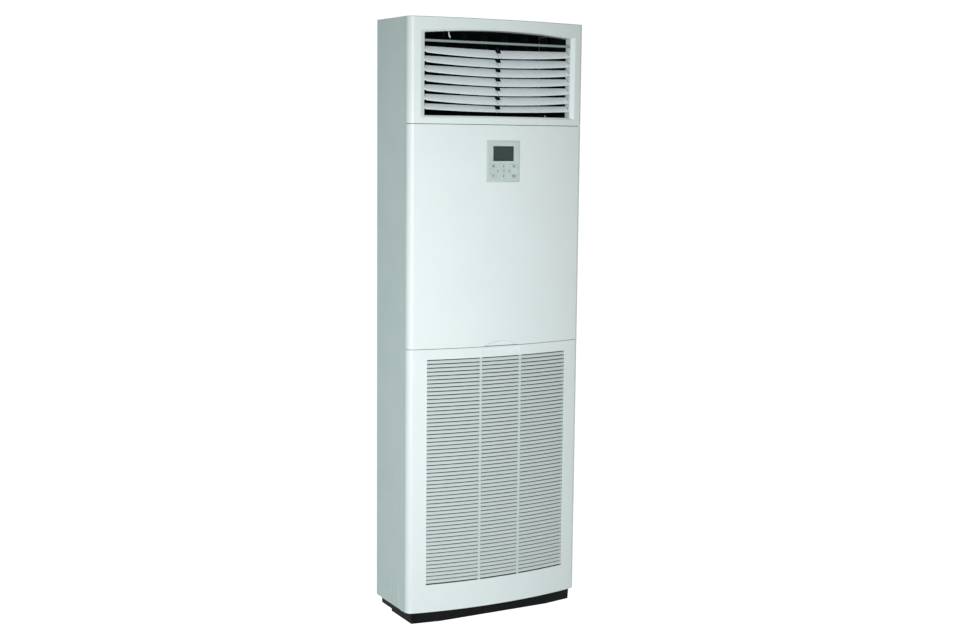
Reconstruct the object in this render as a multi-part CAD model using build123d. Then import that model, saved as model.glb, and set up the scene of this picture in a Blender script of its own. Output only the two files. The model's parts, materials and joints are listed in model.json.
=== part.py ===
from build123d import *
import os
from math import atan2, cos, degrees, hypot, radians, sin, sqrt

# Floor standing air conditioner: a column casing with a bowed moulded front. Air enters
# through the slatted door at the bottom, passes a filter and a centrifugal fan, rises through
# a slanted coil, and leaves through linked louvres and vanes at the top.
# Millimetres, +Z up, the front looks along -Y, origin on the floor under the casing's middle.

# ---- Casing -------------------------------------------------------------------------------
WIDTH = 600.0
DEPTH = 270.0
HEIGHT = 1850.0
BOW_RISE = 34.7  # how far the front's middle stands before its sides
CORNER_R = 20.0  # vertical front corners
SHEET = 1.0  # steel sheet
SHELL = 3.0  # walls of the moulded fronts
LIP_GAP = 1.3  # from the moulded fronts' flanges to the filter behind them
SEAM = 1.6  # between two moulded fronts
SIDE_SEAM = 0.8  # between a moulded front and a side panel
MOULDING_DEPTH = 53.0  # from the front of the bow to the moulded fronts' back edge
FLANGE = 16.0  # folded edges of the panels
BEAD = 2.0  # depth of the beads pressed into the rear panel
BEAD_W = 24.0
WALL_HOLE_IN, WALL_HOLE_DOWN = 100.0, 60.0  # wall fixing holes, from the sides and the top
WALL_HOLE_R = 4.0
FIT = 0.3  # between pieces that are fixed to each other
RUNNING = 0.05  # radial clearance of pins in their holes
PIN_SIDES, PIPE_SIDES = 6, 8  # flats of small pins and of pipes
SLIT = 0.75  # half width of the knock-out's slits
SLIT_Y, SLIT_FRONT_Y = 23.0, -32.0
SLIT_R = 34.0  # round corner of the knock-out

# ---- Base ---------------------------------------------------------------------------------
BASE_H = 36.0
BASE_IN = 17.5  # plinth's sides behind the casing's
BASE_FRONT = -105.5
BASE_CUT_IN = 110.0  # where the cut-back corners start, from the casing's sides
BASE_CORNER_Y = -90.0
BASE_BACK = 128.0
BASE_WALL = 4.0
BASE_TAPER = 2.4  # degrees
FOOT_GAP = 8.0  # height of the arches between the feet
HEEL = 73.0  # length of the raised part of each side
ANCHOR_IN, ANCHOR_Y = 47.5, -58.0  # floor anchors, from the plinth's sides
ANCHOR_R = 6.0
ANCHOR_BOSS = 13.0  # half width of the square anchor bosses

# ---- Moulded fronts, bottom to top --------------------------------------------------------
GRILLE_GAP = 1.0  # under the intake grille
GRILLE_TOP = 858.0
FRAME_DOWN = 315.2  # from the casing's top to the centre panel's top

# ---- Intake grille ------------------------------------------------------------------------
SLOTS = 59
SLOT_GAP = 4.2  # between two slats
FIELD_FOOT, FIELD_HEAD = 86.9, 31.6  # plain bands under and over the slats
FIELD_IN = 57.0  # plain bands beside the slats
SLAT_D = 2.3  # depth of a slat
SLAT_BACK = 0.4  # slats behind the ribs' faces
SLAT_ROOT = 0.5  # length of a slat's ends inside the ribs
RIB_X = 69.0
RIB_W = 7.0
SCOOP_GAP = 4.0  # from the scoop's ends to the ribs' middles
SCOOP_H = 26.0
SCOOP_DEPTH = 6.0
ARCH_HALF = 60.0
ARCH_RISE = 15.0
POCKET = 9.0  # depth of the finger pocket behind the arch
HINGE_X = 60.0
HINGE_BACK = 10.5  # hinge axis behind the front of the bow
HINGE_UP = 6.0  # hinge axis above the base
HINGE_PIN_R = 2.0
HINGE_BOSS_R = 4.0
HINGE_W = 8.0
EAR_T = 3.0
CATCH_DOWN = 15.0  # catches' middle below the grille's top
CATCH_W, CATCH_H, CATCH_D = 16.0, 14.0, 10.0

# ---- Filter -------------------------------------------------------------------------------
FILTER_IN = 52.0
FILTER_T = 6.0
FILTER_RIM = 12.0
FILTER_FOOT, FILTER_HEAD = 23.0, 12.0  # from the grille's bottom and top
FILTER_BACK_GAP = 3.5  # to the bulkhead
FILTER_BARS = 3
BAR_HALF = 3.0
TAB_HALF, TAB_H = 25.0, 8.0
NET_T = 1.0
CHANNEL_T = 2.0
CHANNEL_GRIP = 9.0

# ---- Outlet frame, louvres and vanes ------------------------------------------------------
OPENING_IN = 48.0  # opening's sides, from the casing's
OPENING_UP = 24.6  # opening's bottom above the frame's
CROWN_DOWN = 33.5  # opening's crown below the casing's top
CROWN_RISE = 12.5
RIM_DEPTH = 7.0
RIM_W = 14.0
BEVEL = 6.0
REVEAL_BACK = -72.0
RAIL_DOWN = 23.0  # rail's middle below the opening's upper corners
RAIL_H, RAIL_D = 7.0, 10.0
RAIL_Y = -95.0

LOUVRES = 7
LOUVRE_DOWN = 52.7  # top louvre's pivot below the opening's upper corners
LOUVRE_UP = 22.0  # bottom louvre's pivot above the opening's bottom
LOUVRE_Y = -96.7
LOUVRE_GAP = 4.0  # from the blades' ends to the reveal
LOUVRE_T = 2.5
TILT = 45.0  # degrees below level at rest
FRONT_END, FRONT_MID = 7.5, 22.0  # pivot to the front edge, at the ends and in the middle
LAST_END, LAST_MID = 5.0, 12.8  # the same on the short bottom louvre
REAR_END, REAR_MID = 18.0, 11.0
PIN_R = 2.0
NOTCH_W, NOTCH_FLOOR_W = 17.0, 12.0
NOTCH_TO_PIVOT = 2.0
LINK_REACH = 14.0  # link pin behind the pivot
LINK_PIN_R = 1.5
LINK_W, LINK_T = 6.0, 5.4
LUG_T = 3.5

VANES = 7
VANE_Y = 0.0
VANE_FRONT, VANE_REAR = 18.0, 27.0
VANE_T = 1.5
VANE_REACH = 20.0  # link pin behind the pivot
VANE_LOW_GAP, VANE_HIGH_GAP = 8.0, 5.5
BAR_W, BAR_T = 7.0, 3.8
DUCT_WALL = 3.0
DUCT_BACK = 45.0
DUCT_FLANGE = 8.0
SENSOR_X, SENSOR_Y = -150.0, -61.0
SENSOR_H, SENSOR_HALF, SENSOR_R = 25.5, 5.0, 3.0

MOTOR_R, MOTOR_L = 10.0, 20.0  # the two small stepper motors
MOTOR_OFFSET = 8.0  # a stepper's body beside its shaft
MOTOR_BORE = 8.0
MOTOR_FLANGE_T = 1.6

# ---- Controller ---------------------------------------------------------------------------
CASE_W, CASE_H, CASE_D = 114.0, 125.0, 22.0
CASE_DOWN = 108.8  # middle of the case below the centre panel's top
CASE_PROUD = 0.9
CASE_WALL = 1.8
CASE_LIP = 5.0
KEY_PROUD = 0.6
KEY_GAP = 0.25
KEY_FLANGE = 1.2
SCREEN_W, SCREEN_H = 71.0, 45.0
SCREEN_UP = 23.2  # screen's middle above the case's middle
KEY_ROW = 15.0
KEY_MID = -29.8  # middle row above the case's middle
SIDE_KEY_X = 20.0
CORNER_KEY_X = 35.5
SMALL_KEY = (12.0, 10.0)
CORNER_KEY = (26.0, 11.0)

# ---- Posts, bulkhead and fan --------------------------------------------------------------
POST_W, POST_D, POST_T = 37.0, 30.0, 1.2
BULKHEAD_UP = 8.0  # bulkhead's top above the grille's
FAN_X, FAN_Z = -15.0, 390.0
WHEEL_IN = 110.0  # wheel's rim, from the casing's side
WHEEL_RING = 35.0  # radial width of the blade ring
INLET_STEP = 46.0  # inlet's radius less than the wheel's
BELL_R = 18.0
WHEEL_W = 126.0
WHEEL_GAP = 10.0  # from the bulkhead to the wheel
RIM_T = 2.0
BLADES = 24
RIM_SIDES = 36
BLADE_T = 1.6
BLADE_LEAN = 14.0  # a blade's tip ahead of its root
HUB_R, HUB_L = 22.0, 30.0
SHAFT_R = 8.0
SHAFT_L = 32.0  # behind the wheel
VOLUTE_GAP = 15.0  # from the wheel to the scroll's tongue
VOLUTE_STEP = 15.0  # growth of the radius in each quarter turn
TONGUE_ANGLE = 50.0
CHORDS = 5  # flats in each quarter turn of the scroll
DECK_UP = 310.0  # deck above the fan's axis
DECK_IN = 50.0
SCROLL_BACK_GAP = 8.0
FAN_MOTOR_R, FAN_MOTOR_L = 72.0, 52.0
FAN_MOTOR_SIDES = 24
FAN_MOTOR_GAP = 6.0
BRACKET_RIM, BRACKET_LEG = 12.0, 14.0

# ---- Coil, drain pan, pipes ---------------------------------------------------------------
COIL_REACH = 145.0  # how far the coil's top stands before its foot
COIL_T = 44.0
COIL_LEFT_IN, COIL_RIGHT_IN = 54.0, 64.0
COIL_FOOT_Y = 95.0  # middle of the coil's foot
COIL_LIFT = 24.2  # above the pan's floor
COIL_HEAD = 83.8  # coil's length short of the way from the pan to the centre panel's top
FIN_STEP = 30.0
FIN_GROOVE = (3.0, 2.5)
PLATE_T, PLATE_OVER = 1.5, 2.0
TUBE_R = 4.8
TUBE_ROWS = 6
TUBE_FRONT, TUBE_BACK = -11.0, 12.0  # the two files of tubes across the coil
BEND_OUT, BEND_EDGE = 12.0, 3.0
HEADER_IN = 47.0
PAN_IN, PAN_FRONT = 48.0, 62.0
PAN_UP, PAN_H, PAN_WALL = 10.0, 34.0, 2.0
SPIGOT_IN, SPIGOT_Y = 75.0, 112.0
SPIGOT_R, SPIGOT_L = 10.0, 28.0
PIPE_IN = 19.0
GAS_R, LIQUID_R = 7.94, 4.76
PIPE_END = 180.0
NUT_UP, NUT_L, NUT_SPREAD = 40.0, 24.0, 1.65

# ---- Electrical box -----------------------------------------------------------------------
BOX_W, BOX_H, BOX_DEPTH = 321.7, 235.0, 48.0
BOX_UP = 47.0  # above the grille's top
BOARD_IN, BOARD_W, BOARD_MARGIN, BOARD_T = 30.0, 170.0, 20.0, 3.0
RELAYS = 3
RELAY_W, RELAY_H, RELAY_D = 28.0, 25.0, 17.0
CAPACITOR_R, CAPACITOR_L = 15.0, 27.0
BLOCK_IN, BLOCK_W, BLOCK_H, BLOCK_D = 11.7, 90.0, 35.0, 22.0
POLES = 4
POLE_W = 15.0

# ---- Derived places -----------------------------------------------------------------------
HALF_W = WIDTH / 2
BACK = DEPTH / 2
INSIDE_BACK = BACK - 2 * SHEET - BEAD - FIT  # clear of the rear panel's beads
FRONT = -DEPTH / 2 + CASE_PROUD + KEY_PROUD
BOW_R = (HALF_W**2 + BOW_RISE**2) / (2 * BOW_RISE)
MOULDING_BACK = FRONT + MOULDING_DEPTH
SIDE_FRONT = MOULDING_BACK + SIDE_SEAM
BULKHEAD_Y = SIDE_FRONT + SHEET
LID_Z = HEIGHT - SHEET  # where the top panel lies on the sides
PANEL_TOP = HEIGHT - FRAME_DOWN
GRILLE_LOW = BASE_H + GRILLE_GAP
PANEL_LOW = GRILLE_TOP + SEAM
FRAME_LOW = PANEL_TOP + SEAM
FRAME_TOP = LID_Z - FIT
BASE_HALF = HALF_W - BASE_IN
BASE_CUT_X = HALF_W - BASE_CUT_IN
ANCHOR_X = BASE_HALF - ANCHOR_IN
POST_IN = HALF_W - SHEET - POST_W
WALL_HOLE_X, WALL_HOLE_Z = HALF_W - WALL_HOLE_IN, HEIGHT - WALL_HOLE_DOWN
FIELD_HALF = HALF_W - FIELD_IN
FIELD_LOW, FIELD_HIGH = GRILLE_LOW + FIELD_FOOT, GRILLE_TOP - FIELD_HEAD
SLOT_PITCH = (FIELD_HIGH - FIELD_LOW - SLOT_GAP) / (SLOTS - 1)
SCOOP_HALF = RIB_X - SCOOP_GAP
CATCH_Z = GRILLE_TOP - CATCH_DOWN
FILTER_HALF = HALF_W - FILTER_IN
FILTER_LOW, FILTER_HIGH = GRILLE_LOW + FILTER_FOOT, GRILLE_TOP - FILTER_HEAD
FILTER_REAR = BULKHEAD_Y - FILTER_BACK_GAP
FILTER_FRONT = FILTER_REAR - FILTER_T
LIP_EDGE = FILTER_FRONT - LIP_GAP
HINGE_Y, HINGE_Z = FRONT + HINGE_BACK, BASE_H + HINGE_UP
OPENING_HALF = HALF_W - OPENING_IN
OPENING_LOW = FRAME_LOW + OPENING_UP
OPENING_CROWN = HEIGHT - CROWN_DOWN
OPENING_CORNER = OPENING_CROWN - CROWN_RISE
RAIL_Z = OPENING_CORNER - RAIL_DOWN
LOUVRE_TOP = OPENING_CORNER - LOUVRE_DOWN
LOUVRE_PITCH = (LOUVRE_TOP - OPENING_LOW - LOUVRE_UP) / (LOUVRES - 1)
LOUVRE_HALF = OPENING_HALF - LOUVRE_GAP
VANE_PITCH = 2 * OPENING_HALF / VANES
SENSOR_Z = OPENING_CROWN - SENSOR_H
CASE_Z = PANEL_TOP - CASE_DOWN
CASE_FACE = FRONT - CASE_PROUD
CATCH_FRONT = BULKHEAD_Y - CATCH_D
BULKHEAD_TOP = GRILLE_TOP + BULKHEAD_UP
WHEEL_R = HALF_W - WHEEL_IN
WHEEL_BORE_R, INLET_R = WHEEL_R - WHEEL_RING, WHEEL_R - INLET_STEP
VOLUTE_R = WHEEL_R + VOLUTE_GAP
WHEEL_FRONT = BULKHEAD_Y + WHEEL_GAP
WHEEL_BACK = WHEEL_FRONT + WHEEL_W
MOTOR_FRONT = WHEEL_BACK + SCROLL_BACK_GAP + SHEET + FAN_MOTOR_GAP
DECK_Z, DECK_RIGHT = FAN_Z + DECK_UP, HALF_W - DECK_IN
PAN_HALF, PAN_LOW = HALF_W - PAN_IN, GRILLE_TOP + PAN_UP
SPIGOT_X = HALF_W - SPIGOT_IN
COIL_LEFT, COIL_RIGHT = COIL_LEFT_IN - HALF_W, HALF_W - COIL_RIGHT_IN
COIL_L = PANEL_TOP - PAN_LOW - COIL_HEAD
COIL_SIN = COIL_REACH / COIL_L
COIL_COS = sqrt(1 - COIL_SIN**2)
COIL_LEAN = degrees(atan2(COIL_SIN, COIL_COS))
COIL_Y = COIL_FOOT_Y - COIL_L / 2 * COIL_SIN
COIL_Z = PAN_LOW + PAN_WALL + COIL_LIFT + COIL_L / 2 * COIL_COS + COIL_T / 2 * COIL_SIN
HEADER_X, PIPE_X = HALF_W - HEADER_IN, HALF_W - PIPE_IN
BOX_LEFT, BOX_LOW = FIT - POST_IN, GRILLE_TOP + BOX_UP
BOX_RIGHT, BOX_HIGH = BOX_LEFT + BOX_W, BOX_LOW + BOX_H
BOX_BACK = BULKHEAD_Y + SHEET + BOX_DEPTH
FAR = 30.0  # cutting solids run past what they cut by this much


def box(x0, x1, y0, y1, z0, z1):
    """A block between two corners."""
    return Pos((x0 + x1) / 2, (y0 + y1) / 2, (z0 + z1) / 2) * Box(x1 - x0, y1 - y0, z1 - z0)


def rod(start, end, radius):
    """A round bar between two points."""
    start, end = Vector(*start), Vector(*end)
    plane = Plane(origin=start, z_dir=end - start)
    return extrude(plane * Circle(radius), (end - start).length)


def peg(start, end, radius, sides=PIN_SIDES):
    """Pin between two points, its flats inside the radius."""
    path = Vector(*end) - Vector(*start)
    return extrude(Plane(origin=start, z_dir=path) * RegularPolygon(radius, sides), path.length)


def socket(start, end, radius, sides=PIN_SIDES):
    """Cutting solid between two points, its flats outside the radius."""
    path = Vector(*end) - Vector(*start)
    hole = RegularPolygon(radius, sides, major_radius=False)
    return extrude(Plane(origin=start, z_dir=path) * hole, path.length)


def prism_x(face, x0, x1):
    """Extrude a face drawn in Y and Z from x0 to x1."""
    return extrude(Plane.YZ.offset(x0) * face, x1 - x0)


def prism_y(face, y0, y1):
    """Extrude a face drawn in X and Z from y0 to y1."""
    return extrude(Plane.XZ.offset(-y1) * face, y1 - y0)


def both_sides(solid):
    """The solid and its mirror image across the middle plane."""
    return solid + mirror(solid, about=Plane.YZ)


def bow_y(x, inset=0.0):
    """Depth of the bowed front at x, on a surface inset behind the outer one."""
    return FRONT + BOW_R - sqrt((BOW_R - inset) ** 2 - x**2)


def front_plan(inset, back):
    """Plan of the casing's front: a bow with rounded corners, closed straight at the back."""
    half = HALF_W - inset
    side_y = bow_y(half, inset)
    bow = ThreePointArc((-half, side_y), (0, FRONT + inset), (half, side_y))
    sides = Polyline((half, side_y), (half, back), (-half, back), (-half, side_y))
    face = make_face([*bow.edges(), *sides.edges()])
    corners = face.vertices().sort_by(Axis.Y)[:2]
    return fillet(corners, max(CORNER_R - inset, 1.0))


def front_block(inset, low, high, back=None):
    """Everything behind the bowed surface at this inset."""
    back = MOULDING_BACK if back is None else back
    return Pos(0, 0, low) * extrude(front_plan(inset, back), high - low)


def moulding(low, high):
    """A moulded front: bowed skin, side returns, and flanges at its top and bottom."""
    past, half = MOULDING_BACK + FAR, HALF_W - SHELL
    hollow = front_block(SHELL, low + SHELL, high - SHELL, past)
    return front_block(0, low, high) - hollow - box(-half, half, LIP_EDGE, past, low - FAR, high + FAR)


# ---- Steel casing -------------------------------------------------------------------------
def base_outline():
    """Plan of the plinth: its front corners are cut back."""
    return make_face(
        Polyline(
            (-BASE_HALF, BASE_BACK),
            (-BASE_HALF, BASE_CORNER_Y),
            (-BASE_CUT_X, BASE_FRONT),
            (BASE_CUT_X, BASE_FRONT),
            (BASE_HALF, BASE_CORNER_Y),
            (BASE_HALF, BASE_BACK),
            close=True,
        ).edges()
    )


def base_tray():
    """Black plinth: a ribbed pan, open below, with two anchor bosses and arches at the back."""
    outline = base_outline()
    inside = Pos(0, 0, -FAR) * extrude(offset(outline, -BASE_WALL), FAR + BASE_H - BASE_WALL)
    tray = extrude(outline, BASE_H, taper=-BASE_TAPER) - inside
    middle = (BASE_FRONT + BASE_BACK) / 2
    for x in (-ANCHOR_X / 2, 0, ANCHOR_X / 2):
        tray += box(x - 1.5, x + 1.5, BASE_FRONT + 1, BASE_BACK - 1, FOOT_GAP, BASE_H - 1)
    tray += box(1 - BASE_HALF, BASE_HALF - 1, middle - 1.5, middle + 1.5, FOOT_GAP, BASE_H - 1)
    boss = Pos(ANCHOR_X, ANCHOR_Y) * extrude(Rectangle(2 * ANCHOR_BOSS, 2 * ANCHOR_BOSS), BASE_H - 1)
    tray += both_sides(boss)
    tray -= both_sides(rod((ANCHOR_X, ANCHOR_Y, -FAR), (ANCHOR_X, ANCHOR_Y, BASE_H + FAR), ANCHOR_R))
    arch, rear = ANCHOR_X - FAR, BASE_BACK - 3 * BASE_WALL
    rear_arch = box(-arch, arch, rear, BASE_BACK + FAR, -FAR, FOOT_GAP)
    side, reach = BASE_HALF - 3 * BASE_WALL, BASE_HALF + FAR
    heel = box(side, reach, BASE_BACK - HEEL, BASE_BACK + FAR, -FAR, FOOT_GAP)
    return tray - rear_arch - both_sides(heel)


def knock_out():
    """Half sheared outline of the pipe knock-out low on the right side panel."""
    side, reach = HALF_W - SHEET / 2, HALF_W + FAR
    bend = BASE_H + SLIT_R - 2
    slits = [(SLIT_Y, bend + 2, bend + 18), (SLIT_Y, bend + 37, bend + 58), (SLIT_FRONT_Y, bend, bend + 44)]
    cuts = [box(side, reach, y - SLIT, y + SLIT, low, high) for y, low, high in slits]
    ring = Circle(SLIT_R + SLIT) - Circle(SLIT_R - SLIT)
    quarter = ring & Pos(SLIT_R, -SLIT_R) * Rectangle(2 * SLIT_R, 2 * SLIT_R)
    return [*cuts, prism_x(Pos(SLIT_FRONT_Y - SLIT_R, bend) * quarter, side, reach)]


def side_panel():
    """Right side of the casing: folded sheet with flanges at the front, back and bottom."""
    inside, top = HALF_W - FLANGE, LID_Z
    panel = box(HALF_W - SHEET, HALF_W, SIDE_FRONT, BACK, BASE_H, top)
    panel += box(inside, HALF_W, SIDE_FRONT, SIDE_FRONT + SHEET, BASE_H, top)
    panel += box(inside, HALF_W, BACK - SHEET, BACK, BASE_H, top)
    panel += box(inside - 5, HALF_W, SIDE_FRONT, BACK, BASE_H, BASE_H + SHEET)
    return panel.cut(*knock_out())


def rear_panel():
    """Back sheet with three pressed beads, two wall fixing holes and a foot flange."""
    half, inner, outer = HALF_W - SHEET - FIT, BACK - 2 * SHEET, BACK - SHEET
    low, high = BASE_H + SHEET + FIT, LID_Z
    panel = box(-half, half, inner, outer, low, high)
    foot = HALF_W - FLANGE - 5 - FIT
    panel += box(-foot, foot, outer - FLANGE, outer, BASE_H, BASE_H + SHEET)
    panel += box(-foot, foot, inner, outer, BASE_H, low + SHEET)
    bead, foot_z, head_z = BEAD_W / 2, low + HEIGHT / 10, high - HEIGHT / 8
    for x in (-WIDTH / 4, 0, WIDTH / 4):
        panel += box(x - bead, x + bead, inner - BEAD, outer, foot_z, head_z)
        groove = bead - SHEET
        panel -= box(x - groove, x + groove, outer - BEAD, outer + FAR, foot_z + SHEET, head_z - SHEET)
    for x in (-WALL_HOLE_X, WALL_HOLE_X):
        panel -= rod((x, inner - FAR, WALL_HOLE_Z), (x, BACK + FAR, WALL_HOLE_Z), WALL_HOLE_R)
    return panel


def top_panel():
    """Flat lid that follows the bowed front, with lips inside the sides and the back."""
    lid = Pos(0, 0, LID_Z) * extrude(front_plan(0, BACK), SHEET)
    low, edge = LID_Z - FLANGE, HALF_W - SHEET - FIT
    rear = BACK - 2 * SHEET - FIT
    lid += both_sides(box(edge - SHEET, edge, SIDE_FRONT + 3, rear, low, HEIGHT))
    return lid + box(-edge, edge, rear - SHEET, rear, low, HEIGHT)


def posts():
    """Two folded posts behind the front corners, which carry the fronts and the bulkhead."""
    outer = HALF_W - SHEET
    low, high = BASE_H + SHEET, PANEL_TOP
    back = BULKHEAD_Y + POST_D
    post = box(POST_IN, outer, BULKHEAD_Y, back, low, high)
    hollow = box(POST_IN + POST_T, outer - POST_T, BULKHEAD_Y + POST_T, back + FAR, low - FAR, high + FAR)
    return both_sides(post - hollow)


# ---- Moulded fronts -----------------------------------------------------------------------
def arch_face(grow):
    """Low arch over the finger pocket, drawn in X and Z up from the panel's lower edge."""
    half, rise = ARCH_HALF + grow, ARCH_RISE + grow
    arc = ThreePointArc((-half, PANEL_LOW), (0, PANEL_LOW + rise), (half, PANEL_LOW))
    foot = Polyline((half, PANEL_LOW), (half, PANEL_LOW - 5), (-half, PANEL_LOW - 5), (-half, PANEL_LOW))
    return make_face([*arc.edges(), *foot.edges()])


def centre_panel():
    """Plain bowed panel with the controller's cut-out and a finger pocket in its lower edge."""
    panel = moulding(PANEL_LOW, PANEL_TOP)
    liner = prism_y(arch_face(2), FRONT - FAR, FRONT + FAR)
    liner &= front_block(0, PANEL_LOW, PANEL_TOP) - front_block(POCKET + 2, PANEL_LOW - 9, PANEL_TOP)
    pocket = prism_y(arch_face(0), FRONT - FAR, FRONT + FAR)
    pocket -= front_block(POCKET, PANEL_LOW - FAR, PANEL_TOP)
    half, rise = CASE_W / 2 + FIT, CASE_H / 2 + FIT
    window = box(-half, half, FRONT - FAR, FRONT + FAR, CASE_Z - rise, CASE_Z + rise)
    return panel + liner - pocket - window


def slat_fields():
    """Left and right ends of the three slat fields."""
    inner, outer = RIB_X - RIB_W / 2, RIB_X + RIB_W / 2
    return [(-FIELD_HALF, -outer), (-inner, inner), (outer, FIELD_HALF)]


def slats(x0, x1):
    """Wedge shaped slats between two ribs, set along the bow's chord."""
    y0, y1 = bow_y(x0) + SLAT_BACK, bow_y(x1) + SLAT_BACK
    length, turn = hypot(x1 - x0, y1 - y0), degrees(atan2(y1 - y0, x1 - x0))
    height = SLOT_PITCH - SLOT_GAP
    wedge = make_face(Polyline((0, 0), (0, height), (SLAT_D, height), close=True).edges())
    slat = prism_x(wedge, -SLAT_ROOT, length + SLAT_ROOT)
    first = FIELD_LOW + SLOT_GAP
    return [Pos(x0, y0, first + i * SLOT_PITCH) * Rot(0, 0, turn) * slat for i in range(SLOTS - 1)]


def slat_window(x0, x1):
    """Opening in the door's skin for one field of slats."""
    return box(x0, x1, FRONT - FAR, MOULDING_BACK, FIELD_LOW, FIELD_HIGH)


def filter_channels():
    """Two channels on the grille's back that guide the filter, with a stop under each."""
    inner, outer = FILTER_HALF + FIT, FILTER_HALF + FIT + CHANNEL_T
    front, back = FILTER_FRONT - FIT, FILTER_REAR + FIT
    low, high = FILTER_LOW - FIT - CHANNEL_T, FILTER_HIGH - FLANGE
    grip = inner - CHANNEL_GRIP
    rail = box(inner, outer, FRONT, back + CHANNEL_T, low, high)
    rail += box(grip, outer, front - CHANNEL_T, front, low, high)
    rail += box(grip, outer, back, back + CHANNEL_T, low, high)
    rail += box(grip, outer, front - CHANNEL_T, back + CHANNEL_T, low, low + CHANNEL_T)
    return both_sides(rail & front_block(1, low, high, back + FAR))


def hinge_ears():
    """Four ears at the grille's foot that turn on the fixed hinge pins."""
    front, top = FRONT + 1, HINGE_Z + HINGE_BOSS_R
    corners = [(front, GRILLE_LOW), (HINGE_Y, GRILLE_LOW), (HINGE_Y, top), (front, top)]
    face = make_face(Polyline(*corners, close=True).edges())
    face += Pos(HINGE_Y, HINGE_Z) * RegularPolygon(HINGE_BOSS_R, 8)
    face -= Pos(HINGE_Y, HINGE_Z) * RegularPolygon(HINGE_PIN_R + RUNNING, 8, major_radius=False)
    gap = HINGE_W / 2 + FIT
    ears = prism_x(face, HINGE_X + gap, HINGE_X + gap + EAR_T)
    ears += prism_x(face, HINGE_X - gap - EAR_T, HINGE_X - gap)
    return both_sides(ears & front_block(1, GRILLE_LOW, GRILLE_TOP))


def intake_grille():
    """Hinged intake door: slats in three fields, finger scoop, filter channels, hinge ears."""
    door = moulding(GRILLE_LOW, GRILLE_TOP)
    scoop_low = GRILLE_TOP - SCOOP_H
    pad = front_block(0, scoop_low - SHELL, GRILLE_TOP)
    pad -= front_block(SCOOP_DEPTH + SHELL, scoop_low - FAR, GRILLE_TOP + FAR)
    door += pad & box(-RIB_X, RIB_X, FRONT - FAR, MOULDING_BACK, scoop_low - FAR, GRILLE_TOP)
    scoop_r = (SCOOP_H**2 + SCOOP_DEPTH**2) / (2 * SCOOP_DEPTH)
    scoop_y = FRONT + SCOOP_DEPTH - scoop_r
    door -= rod((-SCOOP_HALF, scoop_y, GRILLE_TOP), (SCOOP_HALF, scoop_y, GRILLE_TOP), scoop_r)
    door += filter_channels()
    gap, front = HINGE_W / 2 + FIT, HINGE_Y - HINGE_BOSS_R - 2
    door -= both_sides(box(HINGE_X - gap, HINGE_X + gap, front, MOULDING_BACK, BASE_H, HINGE_Z + 1))
    door += hinge_ears()
    middle, rise = POST_IN + 1 + CATCH_W / 2, CATCH_H / 3
    strike = box(middle - 2, middle + 2, FRONT, CATCH_FRONT - FIT, CATCH_Z - rise, CATCH_Z + rise)
    door += both_sides(strike & front_block(1, GRILLE_LOW, GRILLE_TOP, MOULDING_BACK + FAR))
    for x0, x1 in slat_fields():
        door -= slat_window(x0, x1)
    bars = [bar for x0, x1 in slat_fields() for bar in slats(x0, x1)]
    return door.fuse(*bars)


def hinge_brackets():
    """Two brackets on the plinth, each with a fixed pin on which the grille turns."""
    half = HINGE_W / 2
    foot = box(HINGE_X - half, HINGE_X + half, HINGE_Y - HINGE_BOSS_R + 1, BULKHEAD_Y - 5, BASE_H, BASE_H + 3)
    boss = peg((HINGE_X - half, HINGE_Y, HINGE_Z), (HINGE_X + half, HINGE_Y, HINGE_Z), HINGE_BOSS_R)
    reach = half + EAR_T + 2 * FIT
    pin = peg((HINGE_X - reach, HINGE_Y, HINGE_Z), (HINGE_X + reach, HINGE_Y, HINGE_Z), HINGE_PIN_R)
    return both_sides(foot + boss + pin)


def grille_catches():
    """Two magnetic catches on the posts, which hold the top of the door shut."""
    low, high = CATCH_Z - CATCH_H / 2, CATCH_Z + CATCH_H / 2
    body = box(POST_IN + 1, POST_IN + 1 + CATCH_W, CATCH_FRONT, BULKHEAD_Y, low, high)
    return both_sides(chamfer(body.edges().filter_by(Axis.Z).group_by(Axis.Y)[0], 2))


def filter_frame():
    """Filter frame with crossbars and a pull tab at its top."""
    low, high = FILTER_LOW, FILTER_HIGH
    frame = box(-FILTER_HALF, FILTER_HALF, FILTER_FRONT, FILTER_REAR, low, high)
    inner = FILTER_HALF - FILTER_RIM
    frame -= box(-inner, inner, FRONT, 0, low + FILTER_RIM, high - FILTER_RIM)
    middle = FILTER_FRONT + FILTER_T / 2
    frame += box(-BAR_HALF, BAR_HALF, FILTER_FRONT, middle, low + 1, high - 1)
    for i in range(1, FILTER_BARS + 1):
        z = low + i * (high - low) / (FILTER_BARS + 1)
        frame += box(-inner - 1, inner + 1, FILTER_FRONT, middle, z - BAR_HALF, z + BAR_HALF)
    return frame + box(-TAB_HALF, TAB_HALF, FILTER_FRONT, middle, high - 1, high + TAB_H)


def filter_net():
    """Fine net behind the filter's crossbars."""
    inner, middle = FILTER_HALF - FILTER_RIM, FILTER_FRONT + FILTER_T / 2
    low, high = FILTER_LOW + FILTER_RIM, FILTER_HIGH - FILTER_RIM
    return box(-inner, inner, middle, middle + NET_T, low, high)


def opening_face(grow):
    """Air outlet drawn in X and Z: level bottom, crowned top."""
    half, low = OPENING_HALF + grow, OPENING_LOW - grow
    corner, crown = OPENING_CORNER + grow, OPENING_CROWN + grow
    top = ThreePointArc((-half, corner), (0, crown), (half, corner))
    rest = Polyline((half, corner), (half, low), (-half, low), (-half, corner))
    return make_face([*top.edges(), *rest.edges()])


def louvre_heights():
    """Pivot heights from the top louvre down."""
    return [LOUVRE_TOP - i * LOUVRE_PITCH for i in range(LOUVRES)]


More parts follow.
